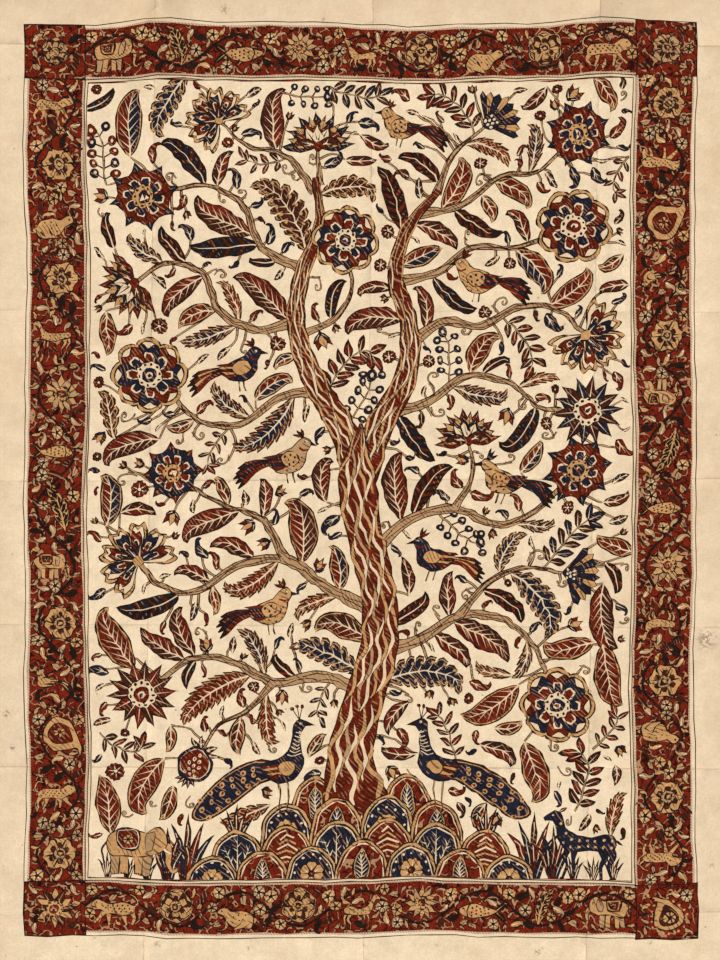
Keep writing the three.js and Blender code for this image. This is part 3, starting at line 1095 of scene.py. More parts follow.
limbs = []
limb_drawings = []
for route, widths in ((LEFT_LEADER, LEADER_WIDTHS), (RIGHT_LEADER, LEADER_WIDTHS), (TRUNK, TRUNK_WIDTHS)):
    path = curve(route, step=9)
    limbs.append((path, spread(widths, len(path))))
    limb_drawings.append(flaming_limb(*limbs[-1]))
    for spot, width in zip(*limbs[-1]):
        field.take(spot, width / 2 + 2)
print("the trunk and its leaders are", sum(len(limb.shapes) for limb in limb_drawings), "outlines")

# %% The boughs
WINDING_ROUTE = [(20, -196), (-50, -162), (-110, -120), (-180, -126), (-244, -166)]
WINDING_ROUTE += [(-300, -156), (-330, -122)]
# A bough is its route, its width at the root, and the kind and radius of the flower at its end.
BOUGHS = [
    ([(26, -262), (90, -240), (150, -204), (214, -208), (262, -246), (284, -296)], 18, "rosette", 58),
    ([(150, -204), (196, -152), (250, -128), (306, -136)], 11, "carnation", 46),
    ([(14, -118), (70, -62), (140, -44), (205, -66), (258, -46), (296, -12)], 17, "star", 54),
    ([(140, -44), (166, 6), (160, 56)], 10, "lotus", 48),
    ([(4, -322), (-60, -296), (-130, -302), (-190, -270), (-250, -266), (-296, -296)], 18, "aster", 54),
    ([(-130, -302), (-172, -346), (-214, -366), (-236, -400)], 10, "pomegranate", 46),
    (WINDING_ROUTE, 17, "palmette", 56),
    ([(-110, -120), (-148, -58), (-206, -34), (-250, -6)], 11, "star", 48),
    ([(-50, 130), (-120, 122), (-180, 84), (-244, 92), (-288, 130)], 15, "rosette", 58),
    ([(-96, 236), (-156, 222), (-210, 252), (-236, 310), (-290, 328), (-336, 300)], 14, "lotus", 52),
    ([(-88, 316), (-146, 348), (-176, 410), (-230, 440), (-284, 434)], 13, "star", 54),
    ([(-66, 430), (-108, 484), (-166, 500), (-208, 536)], 11, "palmette", 48),
    ([(-60, 440), (-62, 496)], 11, "lotus", 50),
    ([(38, 100), (100, 116), (160, 158), (226, 148), (268, 112), (300, 106)], 15, "aster", 54),
    ([(70, 200), (124, 238), (182, 234), (240, 262), (300, 254), (338, 218)], 15, "palmette", 54),
    ([(56, 296), (120, 314), (170, 352), (236, 350), (284, 366)], 14, "rosette", 58),
    ([(92, 402), (156, 416), (212, 456), (266, 462), (300, 492)], 12, "star", 52),
    ([(118, 432), (140, 490), (186, 530)], 11, "carnation", 46),
    ([(-94, 214), (-40, 240), (-12, 284), (-14, 322)], 11, "rosette", 52),
]
TWO_WAYS = ((MADDER, INDIGO), (INDIGO, MADDER))
FLOWERS = {
    "rosette": lambda radius, dyes: rosette(radius, 8, dyes),
    "star": lambda radius, dyes: star_flower(radius, 8, dyes),
    "aster": lambda radius, dyes: aster(radius, 14, (dyes[0], CUTCH)),
    "palmette": lambda radius, dyes: palmette(radius * 0.84, dyes),
    "lotus": lambda radius, dyes: lotus(radius * 0.90, dyes),
    "carnation": lambda radius, dyes: carnation(radius * 0.88, (dyes[0], OCHRE)),
    "pomegranate": lambda radius, dyes: pomegranate(radius * 0.70, dyes),
}
FACE_ON = ("rosette", "star", "aster")
GRAIN_LANES = (-0.17, 0.17)
FACE_ON_SEAT, SIDE_SEAT = 0.72, 2.0


def draw_bough(points, root_width):
    """A winding bough with two wavy lines of grain."""
    path = curve(points, step=6)
    widths = np.interp(np.linspace(0, 1, len(path)), [0, 0.15, 0.7, 1], [1.4, 1.0, 0.62, 0.45]) * root_width
    boughs.lay(ribbon(path, widths), IRON).lay(ribbon(path, np.maximum(widths - 2.8, 1.2)), BARK)
    for lane in GRAIN_LANES:
        sway = (lane + 0.09 * np.sin(np.arange(len(path)) * 0.55 + 9 * lane)) * widths
        boughs.lay(ribbon((path + sideways(path) * sway[:, None])[1:-4], 1.4), CUTCH)
    for spot, width in zip(path, widths):
        field.take(spot, width / 2 + 1)
    return path, widths


bough_lines = [draw_bough(points, root_width) for points, root_width, _, _ in BOUGHS]
for limb in limb_drawings[:2]:
    boughs.stamp(limb)
for number, ((_, _, kind, radius), (path, _)) in enumerate(zip(BOUGHS, bough_lines)):
    ahead = unit(path[-1] - path[-3])
    seat = path[-1] + ahead * (radius * FACE_ON_SEAT if kind in FACE_ON else SIDE_SEAT)
    turn = 17 * number if kind in FACE_ON else heading(ahead)
    place(blooms, FLOWERS[kind](radius, TWO_WAYS[number % 2]), seat, turn)
print(len(BOUGHS), "boughs, each with its flower")

# %% [markdown]
# ## The mound and its visitors
# The tree stands on a hill of overlapping scales, a very old way to draw rocks. Scales are laid in rows
# from the back to the front like roof tiles, so the trunk is put between the first two rows and seems to
# grow out of the hill. Peacocks, a deer, an elephant and tufts of grass stand on either side of it.

# %% The mound
SCALE_FILLS = (BLOCK_RED, INDIGO, MADDER, INDIGO)
SCALE_SIDE = [(0, 0), (0.46, 0), (0.50, 0.40), (0.40, 0.74), (0.17, 0.95), (0, 1)]
# A row of scales is the height of its foot, the height of a scale, how many there are, and their pitch.
MOUND_ROWS = [(-524, 84, 3, 68), (-558, 82, 4, 74), (-590, 80, 6, 74), (-622, 78, 7, 74)]
TUFT_HEIGHT, TUFT_PLACE = 68, np.array([186, -552])


def rock_scale(width, height, kind):
    """One scale of the mound, with a leaf, branches, chevrons or a flower in it."""
    outline = mirrored(curve(SCALE_SIDE, step=0.12) * [width, height])
    fill = SCALE_FILLS[kind % 4]
    rock = Drawing()
    for inset, dye in ((0, IRON), (1.8, OCHRE), (4.8, IRON), (5.9, fill), (7.4, RESERVE), (8.9, fill)):
        rock.lay(shrink(outline, inset), dye)
    middle = (0, height * 0.46)
    if kind % 4 == 0:
        small = leaf(spine_of(height * 0.70), width * 0.46, INDIGO, INDIGO, 7, rim=OCHRE)
        return rock.stamp(small, (0, height * 0.14))
    if kind % 4 == 1:
        foot = np.array([0, height * 0.06])
        for lean in (-44, -22, 0, 22, 44):
            branch = around(lean, height * (0.84 - 0.007 * abs(lean)))
            rock.lay(sliver(foot, foot + branch, 2.6), RESERVE)
            for share, turn in ((0.34, -42), (0.46, 42), (0.58, -42), (0.70, 42), (0.80, -42)):
                fork = foot + branch * share
                rock.lay(sliver(fork, fork + around(lean + turn, height * 0.13), 2.0), RESERVE)
        return rock
    if kind % 4 == 2:
        for row in range(6):
            foot, half = height * (0.20 + 0.105 * row), width * (0.33 - 0.045 * row)
            chevron = np.array([(-half, foot), (0, foot + height * 0.10), (half, foot)])
            rock.lay(ribbon(chevron, 2.6), RESERVE if row % 2 else OCHRE)
        return rock
    rock.stamp(blossom(width * 0.22, OCHRE, 6, MADDER), middle)
    return rock.dots([around(30 * k - 120, width * 0.33) + middle for k in range(9)], 2.0, RESERVE)


def draw_mound():
    kind = 0
    for row, (foot, height, count, pitch) in enumerate(MOUND_ROWS):
        for k in range(count):
            off_middle = k - (count - 1) / 2
            tall = height * (1.06 - 0.05 * abs(off_middle))
            at = (off_middle * pitch, foot - 3 * abs(off_middle))
            ground_life.stamp(rock_scale(pitch * 1.08, tall, kind), at)
            field.take((at[0], at[1] + tall * 0.40), pitch * 0.58)
            kind += 3 if k % 2 else 1
        kind += 2
        if row == 0:
            ground_life.stamp(limb_drawings[-1])


for sign in (-1, 1):
    ground_life.stamp(grass(TUFT_HEIGHT), TUFT_PLACE * [sign, 1])
draw_mound()
print("the mound has", sum(count for _, _, count, _ in MOUND_ROWS), "scales")

# %% Animals and grass
# A bird is where its perch is looked for, its length, if it faces right, its coat and its feather dyes.
BIRDS = [
    (-150, -220, 112, True, OCHRE, (MADDER, INDIGO)),
    (96, -180, 108, False, INDIGO, (MADDER, OCHRE)),
    (210, 20, 112, False, OCHRE, (INDIGO, MADDER)),
    (-150, 30, 112, True, BARK, (MADDER, INDIGO)),
    (150, 280, 112, False, OCHRE, (MADDER, INDIGO)),
    (-190, 170, 108, True, INDIGO, (MADDER, OCHRE)),
    (20, 500, 100, False, OCHRE, (MADDER, INDIGO)),
]
PERCH_REACH = 90.0
# A ground animal is its drawing, where it stands, and whether it is mirrored.
GROUND_ANIMALS = [
    (peacock(150), (-132, -440), False),
    (peacock(150), (132, -440), True),
    (deer(112, INDIGO, OCHRE), (338, -552), True),
    (elephant(108, OCHRE, INDIGO), (-336, -560), False),
]
GRASS_HEIGHTS = (104, 84, 44, 40, 44)
GRASS_START, GRASS_PITCH, GRASS_FOOT = 258, 30, -601
for x, y, length, faces_right, coat, dyes in BIRDS:
    perch, _ = field.widest((x, y), PERCH_REACH)
    place(blooms, bird(length, coat, dyes), perch, flip=not faces_right)
for animal, at, turned in GROUND_ANIMALS:
    place(blooms, animal, at, flip=turned)
for sign in (-1, 1):
    for k, tall in enumerate(GRASS_HEIGHTS):
        place(foliage, grass(tall), (sign * (GRASS_START + GRASS_PITCH * k), GRASS_FOOT))
print(len(BIRDS), "birds on the boughs, and", len(blooms.shapes), "outlines of flowers and animals so far")

# %% [markdown]
# ## Leaves and fillers
# Each bough now puts out leaves on both sides. For every bud point a kind of leaf is picked by lot and
# tried from long to short until it fits the free space. A leaf may tuck its foot under its own bough,
# because the boughs are laid over the leaves. What gaps are left are filled from the widest down with
# rolled leaves, buds and small flowers, each tied to the nearest bough by a thin twig. The lots are drawn
# from one seeded source, so the tree grows the same way every time.

# %% Growing leaves
THREE_DYES = (MADDER, INDIGO, CUTCH)
# A kind of leaf is its width for its length, its longest, its shortest, its share of the lots, what draws it,
# and that one's dyes and numbers for a leaf's own number and its spine's count of points.
LEAF_KINDS = [
    (0.46, 150, 70, 4, toothed_leaf, lambda k, count: (THREE_DYES[k % 3], OCHRE, WAVE_TOOTH, 13)),
    (0.42, 140, 62, 4, toothed_leaf, lambda k, count: (THREE_DYES[k % 2], MADDER)),
    (0.52, 112, 42, 5, leaf, lambda k, count: (MADDER, THREE_DYES[k % 3], count // 3, RESERVE, OCHRE)),
    (0.44, 112, 46, 4, leaf, lambda k, count: (CUTCH, MADDER, count // 3)),
    (0.36, 112, 46, 3, banded_leaf, lambda k, count: (CUTCH, THREE_DYES[k % 2])),
    (0.52, 112, 66, 2, spray, lambda k, count: (THREE_DYES[k % 2],)),
    (0.60, 120, 62, 5, leafy_shoot, lambda k, count: (THREE_DYES[k % 2],)),
]
LEAF_LOTS = [kind[3] for kind in LEAF_KINDS]
LEAF_GAP, LEAF_STEP = 1.4, 7.0
FOOT_SHARE, FOOT_SPREAD, FIT_GAP = 0.3, 0.42, 1.0
SHORTEST_TWIG, LONGEST_TWIG, LOWEST_TWIG = 8, 110, -430
wood = np.vstack([path for path, _ in bough_lines + limbs[:2]] + [limbs[2][0][12:]])


def fits(spine, length, width):
    """Whether a leaf on a spine finds the field free all along, apart from its foot."""
    t = np.linspace(0, 1, len(spine))
    need = np.minimum(width / 2 * almond(t), FOOT_SPREAD * t * length) + FIT_GAP
    return bool((field.room(spine) > need)[t > FOOT_SHARE].all())


def grow_leaf(root, way, number, tries):
    """Puts the largest leaf that fits at a bud, and says whether there was room for one."""
    kind = hand.choices(range(len(LEAF_KINDS)), LEAF_LOTS)[0]
    share, longest, shortest, _, draw, chosen = LEAF_KINDS[kind]
    for length in np.arange(longest * hand.uniform(0.85, 1.0), shortest, -LEAF_STEP):
        for _ in range(tries):
            bend, roll = hand.uniform(-1.0, 1.0), hand.uniform(0.3, 2.1)
            spine = moved(spine_of(length, bend, math.copysign(roll, bend)), root, heading(way))
            if fits(spine, length, share * length):
                grown_leaf = draw(spine, share * length, *chosen(number, len(spine)))
                place(foliage, grown_leaf, gap=LEAF_GAP)
                return True
    return False


def tie(at):
    """A thin twig from the nearest bough to a place in a gap, and the way it comes."""
    nearest = wood[np.argmin(np.hypot(*(wood - at).T))]
    way = at - nearest
    if SHORTEST_TWIG < np.linalg.norm(way) < LONGEST_TWIG and at[1] > LOWEST_TWIG:
        stem = curve([nearest, (nearest + at) / 2 + to_left(way) * hand.uniform(-0.22, 0.22), at], step=8)
        twigs.taper(stem, [4.4, 3.8, 3.2], IRON).lay(ribbon(stem, 1.7), BARK)
    return way


def bud_points(line, first, every):
    """Places on both sides of a stem where a leaf may start, with a way out of it."""
    path, widths = line
    side, ahead = sideways(path), unit(np.gradient(path, axis=0))
    for index in range(first, len(path) - 2, every):
        for sign in (1, -1):
            lean = hand.uniform(0.2, 0.9)
            out = unit(sign * side[index] * (1 - 0.55 * lean) + ahead[index] * lean)
            yield path[index] + sign * side[index] * widths[index] * 0.3, out


buds = [bud_place for line in bough_lines for bud_place in bud_points(line, first=3, every=3)]
buds += [bud_place for line in limbs for bud_place in bud_points(line, first=8, every=2)]
hand.shuffle(buds)
grown = sum(grow_leaf(root, way, number, 3) for number, (root, way) in enumerate(buds))
print(grown, "large leaves from", len(buds), "buds")

# %% Leaves in the wide gaps
WIDE_GAP, TURNS_TRIED, PASSED_RADIUS = 17.5, 8, 6.0
in_gaps = passed_over = 0
while True:
    at, gap = field.widest()
    if gap < WIDE_GAP:
        break
    turns = [hand.uniform(0, 360) for _ in range(TURNS_TRIED)]
    roots = [at + around(turn, -gap * hand.uniform(0.9, 1.7)) for turn in turns]
    for root, turn in zip(roots, turns):
        if grow_leaf(root, around(turn, 1.0), in_gaps, 2):
            tie(root)
            in_gaps += 1
            break
    else:
        field.take(at, PASSED_RADIUS, 0.0)
        passed_over += 1
print(in_gaps, "leaves in wide gaps, and", passed_over, "gaps passed over")

# %% Small leaves and fillers
SMALLEST_GAP, GAP_SHARE = 7.0, 0.98
ROOTED, CENTRED = -0.92, 0.0
# A filler is where its foot lies in its gap, as a share of the gap's radius, and how it is drawn.
FILLERS = (
    (ROOTED, lambda r, k: leaf(spine_of(r * 2.0, 0.6), r, THREE_DYES[k % 3], CUTCH, 3 + (r > 18))),
    (ROOTED, lambda r, k: comma(r * 2.0, THREE_DYES[k % 3])),
    (ROOTED, lambda r, k: comma(r * 2.0, MADDER)),
    (ROOTED, lambda r, k: tendril(r * 1.9)),
    (ROOTED, lambda r, k: bud(r * 1.7)),
    (ROOTED, lambda r, k: mango(r * 1.9, TWO_WAYS[k % 2]) if r > 17 else comma(r * 2.0, INDIGO)),
    (CENTRED, lambda r, k: star_flower(r, 6, TWO_WAYS[k % 2]) if r > 21 else blossom(r * 0.95, MADDER, 6)),
)
fillers = 0
while True:
    at, gap = field.widest()
    if gap < SMALLEST_GAP:
        break
    fillers += 1
    radius = gap * GAP_SHARE
    angle = heading(tie(at)) + hand.uniform(-35, 35)
    offset, draw = FILLERS[hand.randrange(len(FILLERS))]
    foot = moved([(0, offset * radius)], at, angle)[0]
    place(foliage, draw(radius, fillers), foot, angle, fillers % 2 == 0)
print(fillers, "fillers; the widest gap left is", round(gap, 1), "mm")

# %% [markdown]
# ## The border
# A dark red band frames the picture, printed with wooden blocks between thin lines and fine combs, with a
# square block at each corner. On each side a black vine waves from end to end, and its loops hold a
# flower, a leaf or an animal in ochre. The wider chinks between get small leaves, by the same free-space
# grid as in the tree, and the finest curls are left to the ground's own finish. One long and one short
# side are drawn and mirrored over, as a printer turns one block.

# %% Lines, combs and bands
BAND_OUTSIDE = np.array([495.0, 678.0])
BAND_INSIDE = np.array([414.0, 606.0])
BAND_MIDDLE = (BAND_OUTSIDE + BAND_INSIDE) / 2
BAND_DEPTH = BAND_OUTSIDE - BAND_INSIDE
COMB_DEPTH = 2.4
border = Drawing()


def rectangle(left, right, low, high, step=36.0):
    """A rectangle with points all along its sides, so that it can bend with the cloth."""
    across = np.linspace(left, right, max(1, round((right - left) / step)) + 1)
    up = np.linspace(low, high, max(1, round((high - low) / step)) + 1)
    sides = [[(x, low) for x in across[:-1]], [(right, y) for y in up[:-1]]]
    sides += [[(x, high) for x in across[:0:-1]], [(left, y) for y in up[:0:-1]]]
    return np.array(sum(sides, []))


def ring_line(outside, width, dye):
    """A line all round the picture, drawn as four strips."""
    x, y = outside
    for sign in (-1, 1):
        border.lay(rectangle(-x, x, *sorted((sign * y, sign * (y - width)))), dye)
        border.lay(rectangle(*sorted((sign * x, sign * (x - width))), -y, y), dye)


# A ring is the edge it starts from, how far out from it, how wide it is inwards, and its dye.
RINGS = [
    (BAND_OUTSIDE, 7.8, 1.3, IRON),
    (BAND_OUTSIDE, COMB_DEPTH, COMB_DEPTH + 1, COMB),
    (BAND_OUTSIDE, 0.0, BAND_DEPTH[0], BLOCK_RED),
    (BAND_INSIDE, 0.0, 8.0, RESERVE),
    (BAND_INSIDE, 0.0, COMB_DEPTH, COMB),
    (BAND_INSIDE, -COMB_DEPTH, 1.4, IRON),
    (BAND_INSIDE, -6.6, 1.4, IRON),
]
for edge, out, width, dye in RINGS:
    ring_line(edge + out, width, dye)
print("band depths", BAND_DEPTH, "mm, and", len(border.shapes), "strips")

# %% Crowding the ground
SMALLEST_CHINK, CHINK_REACH = 5.0, 30
PLAIN_BELOW, FLOWER_ABOVE, LARGEST_FILL = 5.2, 7, 10.0
CHINK_FILL, CHINK_TAKEN = 1.12, 0.86


def fitted(drawing, width, height):
    """A drawing about its own middle, sized to fill a box."""
    points = np.vstack([shape for shape, _ in drawing.shapes])
    low, high = points.min(axis=0), points.max(axis=0)
    size = min(np.array([width, height]) / (high - low))
    return Drawing().stamp(drawing.redyed(RESERVE, OCHRE), -(low + high) / 2 * size, size=size)


def crowd(block, room):
    """Fills what is free of a block with small leaves and flowers, from the widest chink down."""
    while True:
        at, gap = room.widest()
        if gap < SMALLEST_CHINK:
            return block
        radius = min(gap * CHINK_FILL, LARGEST_FILL)
        turn = hand.uniform(0, 360)
        root = moved([(0, -radius)], at, turn)[0]
        lot = hand.randrange(8)
        bent = lot % 2 == 0
        if radius > FLOWER_ABOVE and lot < 2:
            block.stamp(blossom(radius, (OCHRE, BARK)[lot], 5 + lot, IRON), at, turn)
        elif radius > PLAIN_BELOW and lot < 5:
            block.stamp(comma(radius * 2.0, (OCHRE, BARK, OCHRE, BARK, BARK)[lot]), root, turn, flip=bent)
        elif radius > PLAIN_BELOW and lot == 7:
            block.stamp(leaflet(radius * 2.05, radius * 1.2, BARK, IRON), root, turn)
        else:
            plain_leaf = moved(comma(radius * 2.1).shapes[0][0], root, turn, flip=bent)
            block.lay(plain_leaf, (OCHRE, MADDER, BARK, BARK, BARK, IRON, CUTCH, OCHRE)[lot])
        room.take(at, radius * CHINK_TAKEN, CHINK_REACH)


print("a fitted fish is", len(fitted(fish(50), 60, 30).shapes), "outlines")

# %% The two sides
VINE_WIDTH, VINE_SWING, VINE_GAP = 4.0, 0.36, 0.6
MOTIF_SHIFT, MOTIF_GAP, MOTIF_CELL = 0.07, 0.8, 4.0
CHINK_PITCH = 2.0
SIDE_SEAM = 2
BAND_KINDS = ("flower", "cat", "mango", "bird", "flower", "elephant")
BAND_KINDS += ("leaf", "fish", "aster", "deer", "flower", "hare")
BAND_MOTIFS = {
    "flower": lambda number: (star_flower, rosette)[number % 2](30, 6, (OCHRE, CUTCH), BARK),
    "aster": lambda number: aster(30, 12, (OCHRE, BARK), OCHRE),
    "cat": lambda number: spotted_cat(80),
    "mango": lambda number: Drawing().stamp(mango(60, (OCHRE, MADDER)), angle=62 if number % 2 else -118),
    "bird": lambda number: bird(66, OCHRE, (CUTCH, OCHRE)),
    "elephant": lambda number: elephant(66, OCHRE, CUTCH),
    "leaf": lambda number: toothed_leaf(spine_of(70, 0.9), 34, IRON, OCHRE, WAVE_TOOTH, 12),
    "fish": lambda number: fish(72, (OCHRE, IRON)),
    "deer": lambda number: deer(64, OCHRE, IRON),
    "hare": lambda number: hare(56, OCHRE),
}


def band_side(length, depth, loops, first, upright):
    """One side of the border along +X, its middle on y = 0, with motifs turned to stand upright if asked."""
    side = Drawing()
    room = Space(length / 2 - 1, depth / 2 - 1.5, CHINK_PITCH)
    pitch = length / loops
    xs = np.linspace(-length / 2, length / 2, loops * 12 + 1)
    vine = np.column_stack([xs, depth * VINE_SWING * np.sin(math.pi * (xs + length / 2) / pitch)])
    side.lay(ribbon(vine, VINE_WIDTH), IRON)
    for spot in vine[::2]:
        room.take(spot, VINE_WIDTH / 2 + VINE_GAP, CHINK_REACH)
    for k in range(loops):
        at = (pitch * (k + 0.5) - length / 2, depth * (MOTIF_SHIFT if k % 2 else -MOTIF_SHIFT))
        box = (depth * 0.80, pitch * 0.74) if upright else (pitch * 0.80, depth * 0.78)
        motif = fitted(BAND_MOTIFS[BAND_KINDS[(k + first) % len(BAND_KINDS)]](k), *box)
        motif = Drawing().stamp(motif, at, -90 if upright else 0, flip=(k + first) % 3 == 0)
        side.stamp(motif)
        room.cover(motif, MOTIF_GAP, MOTIF_CELL)
    return crowd(side, room)


long_side = band_side(2 * BAND_INSIDE[1] - SIDE_SEAM, BAND_DEPTH[0] - SIDE_SEAM, 14, first=0, upright=True)
short_side = band_side(2 * BAND_INSIDE[0] - SIDE_SEAM, BAND_DEPTH[1] - SIDE_SEAM, 9, first=5, upright=False)
for sign in (-1, 1):
    border.stamp(long_side, (sign * BAND_MIDDLE[0], 0), 90, flip=sign > 0)
    border.stamp(short_side, (0, sign * BAND_MIDDLE[1]), flip=sign < 0)
print("a long side is", len(long_side.shapes), "outlines and a short one", len(short_side.shapes))

# %% Corner blocks
BLOCK_HALF = np.array([46.0, 41.5])
BLOCK_PLACE = np.array([456.5, 644.0])
BLOCK_INSET = 6.5
CORNERS = ((-1, 1), (1, 1), (-1, -1), (1, -1))


def corner_block(motif):
    """A square block with one large motif in a crowd of small leaves."""
    block = Drawing()
    for inset, dye in ((0.0, IRON), (1.7, BLOCK_RED)):
        x, y = BLOCK_HALF - inset
        block.lay(rectangle(-x, x, -y, y, 20), dye)
    room = Space(*(BLOCK_HALF - BLOCK_INSET), CHINK_PITCH)
    room.cover(motif, MOTIF_GAP, MOTIF_CELL)
    return crowd(block.stamp(motif.redyed(RESERVE, OCHRE)), room)


def dotted_mango(length):
    """A large mango with a flower in it and a row of pale dots round it."""
    drawing = Drawing().stamp(mango(length, (OCHRE, CUTCH)), (0, -length / 2), 0)
    drawing.stamp(blossom(length * 0.17, OCHRE, 7, IRON), (0, -length * 0.16))
    rim = shrink(mango(length * 1.16).shapes[0][0] - [0, length * 0.58], 0.5)
    return drawing.dots(rim[::2], 1.9, RESERVE)


corner_motifs = (
    rosette(22, 6, (CUTCH, BARK), BARK),
    star_flower(30, 8, (BARK, CUTCH), BARK),
    aster(33, 12, (OCHRE, CUTCH), OCHRE),
    Drawing().stamp(dotted_mango(58), angle=20, flip=True),
)
for motif, corner in zip(corner_motifs, CORNERS):
    border.stamp(corner_block(motif), BLOCK_PLACE * corner)
print("the border is", len(border.shapes), "outlines")

# %% [markdown]
# ## From drawing to cloth
# The drawing is still a pile of overlapping outlines. One sheet of triangles that follows every visible
# edge is wanted, so that each triangle has one dye. Blender's constrained Delaunay triangulation does
# that: it takes all outlines at once and cuts them at their crossings. A second run keeps only the edges
# where the dye changes, which drops all that is hidden below, and adds points for the folds.

# %% The print settles into the cloth
# A sway is how far it moves a point along X and Y, its wave's length along X and Y, and its phase.
SWAYS = [
    (2.4, 0.4, 2600, 610, 0.4),
    (0.5, 2.3, 560, 2900, 1.9),
    (1.1, 0.5, -900, 260, 2.6),
    (0.4, 1.2, 235, 800, 4.0),
    (0.80, 0.55, 47, 61, 0.7),
    (0.55, 0.80, -58, 39, 2.2),
]
# Each dye went on by itself, so it strays a little from the pen lines. A stray is written as a sway is.
STRAYS = [(0.45, 0.30, 27, -33, 4.4), (0.30, 0.45, -23, 29, 1.3)]
DYE_PHASE = 1.9
# A pull is where the cloth dragged the print: its middle, its reach each way, and how far it went.
PULLS = [
    (-309, 690, 55, 120, 0.0, 5.0),
    (357, 690, 60, 120, 0.0, 5.5),
    (430, 225, 70, 45, 3.0, 0.0),
    (20, 690, 120, 90, 0.0, -2.0),
    (-500, -330, 70, 120, -2.5, 0.0),
    (480, -640, 120, 90, 2.5, -2.0),
]


def settled(points, dye):
    """Where points of one dye of the drawing lie on the worn cloth."""
    x, y = points.T
    moved_x, moved_y = x.copy(), y.copy()
    strays = [(*stray[:4], stray[4] + DYE_PHASE * dye) for stray in STRAYS]
    for by_x, by_y, wave_x, wave_y, phase in SWAYS + strays:
        wave = np.sin(2 * math.pi * (x / wave_x + y / wave_y) + phase)
        moved_x += by_x * wave
        moved_y += by_y * wave
    for at_x, at_y, reach_x, reach_y, by_x, by_y in PULLS:
        near = np.exp(-(((x - at_x) / reach_x) ** 2) - ((y - at_y) / reach_y) ** 2)
        moved_x += by_x * near
        moved_y += by_y * near
    return np.column_stack([moved_x, moved_y])


print_layers = (twigs, foliage, boughs, ground_life, blooms, border)
printed = [(settled(shape, dye), dye) for layer in print_layers for shape, dye in layer.shapes]
print(len(printed), "outlines with", sum(len(shape) for shape, _ in printed), "points are laid on the cloth")

# %% The edge of the cloth
EDGE_WAVE, SIDE_WAVES, END_WAVES, EDGE_GRIP = 4.0, 7, 5, 4


def edge_wave(share, waves):
    """How far an edge has wandered inwards, at a share of its length."""
    return EDGE_WAVE * np.sin(math.pi * share) * np.sin(waves * math.pi * share / 2) ** 2


def drawn_in(points):
    """Points of the flat cut, drawn in with the wandering edges."""
    x, y = points.T
    side = edge_wave((y + HALF_LENGTH) / CLOTH_LENGTH, SIDE_WAVES)
    end = edge_wave((x + HALF_WIDTH) / CLOTH_WIDTH, END_WAVES)
    new_x = x * (1 - (np.abs(x) / HALF_WIDTH) ** EDGE_GRIP * side / HALF_WIDTH)
    new_y = y * (1 - (np.abs(y) / HALF_LENGTH) ** EDGE_GRIP * end / HALF_LENGTH)
    return np.column_stack([new_x, new_y])


cut_edge = drawn_in(rectangle(-HALF_WIDTH, HALF_WIDTH, -HALF_LENGTH, HALF_LENGTH, step=18.0))
print("the edge has", len(cut_edge), "points")

# %% Triangulating, and finding the dye on top
SNAP = 1e-4
EDGE_GAP = 9.0


def winds_round(shape, points):
    """Whether an anticlockwise outline goes round each of some points."""
    x, y = points[:, :1], points[:, 1:]
    from_x, from_y = shape.T
    to_x, to_y = np.roll(shape, -1, axis=0).T
    left = (to_x - from_x) * (y - from_y) - (x - from_x) * (to_y - from_y)
    up = (from_y <= y) & (to_y > y) & (left > 0)
    down = (from_y > y) & (to_y <= y) & (left < 0)
    return (up.sum(axis=1) - down.sum(axis=1)) > 0


def triangulated(points, edges):
    """Points, the given ones first, and triangles that keep every edge and stay inside the cut edge."""
    result = delaunay_2d_cdt(points.tolist(), edges, [], 0, SNAP, False)
    plan = np.array([tuple(point) for point in result[0]])
    faces = np.array(result[2])
    middles = plan[faces].mean(axis=1)
    near_edge = (np.abs(middles) > [HALF_WIDTH - EDGE_GAP, HALF_LENGTH - EDGE_GAP]).any(axis=1)
    at_edge = np.flatnonzero(near_edge)
    outside = at_edge[~winds_round(cut_edge, middles[at_edge])]
    return plan, np.delete(faces, outside, axis=0)


def loops(shapes):
    """All points of some closed outlines, and the edges between them."""
    points = np.vstack(shapes)
    edges = []
    start = 0
    for shape in shapes:
        numbers = np.arange(start, start + len(shape))
        edges += list(zip(numbers.tolist(), np.roll(numbers, -1).tolist()))
        start += len(shape)
    return points, edges


def dyes_at(points):
    """The dye of the topmost outline at each of some points, or bare cotton."""
    order = np.argsort(points[:, 0])
    by_x = points[order]
    dyes = np.full(len(points), -1)
    for shape, dye in reversed(printed):
        low, high = shape.min(axis=0), shape.max(axis=0)
        first, last = np.searchsorted(by_x[:, 0], [low[0], high[0]])
        height = by_x[first:last, 1]
        inside = (height >= low[1]) & (height <= high[1]) & (dyes[order[first:last]] < 0)
        candidates = np.flatnonzero(inside) + first
        if len(candidates):
            hit = candidates[winds_round(shape, by_x[candidates])]
            dyes[order[hit]] = dye
    dyes[dyes < 0] = COTTON
    return dyes


all_points, all_edges = loops([shape for shape, _ in printed] + [cut_edge])
rough_points, rough_faces = triangulated(all_points, all_edges)
rough_dyes = dyes_at(rough_points[rough_faces].mean(axis=1))
print("first run:", len(rough_faces), "triangles, with what is hidden")

# %% Keeping only the edges where the dye changes
STRAIGHT, CLOSE, LONGEST_RUN = 0.46, 0.8, 24.0


def visible_edges(faces, dyes):
    """Edges with another dye on their other side, or with nothing there."""
    sides = np.sort(np.vstack([faces[:, [0, 1]], faces[:, [1, 2]], faces[:, [2, 0]]]), axis=1)
    owners = np.tile(np.arange(len(faces)), 3)
    order = np.lexsort(sides.T)
    sides, owners = sides[order], owners[order]
    same = (sides[1:] == sides[:-1]).all(axis=1)
    shared = np.append(same, False) | np.insert(same, 0, False)
    pair = np.flatnonzero(same)
    changes = pair[dyes[owners[pair]] != dyes[owners[pair + 1]]]
    return np.vstack([sides[changes], sides[~shared]])


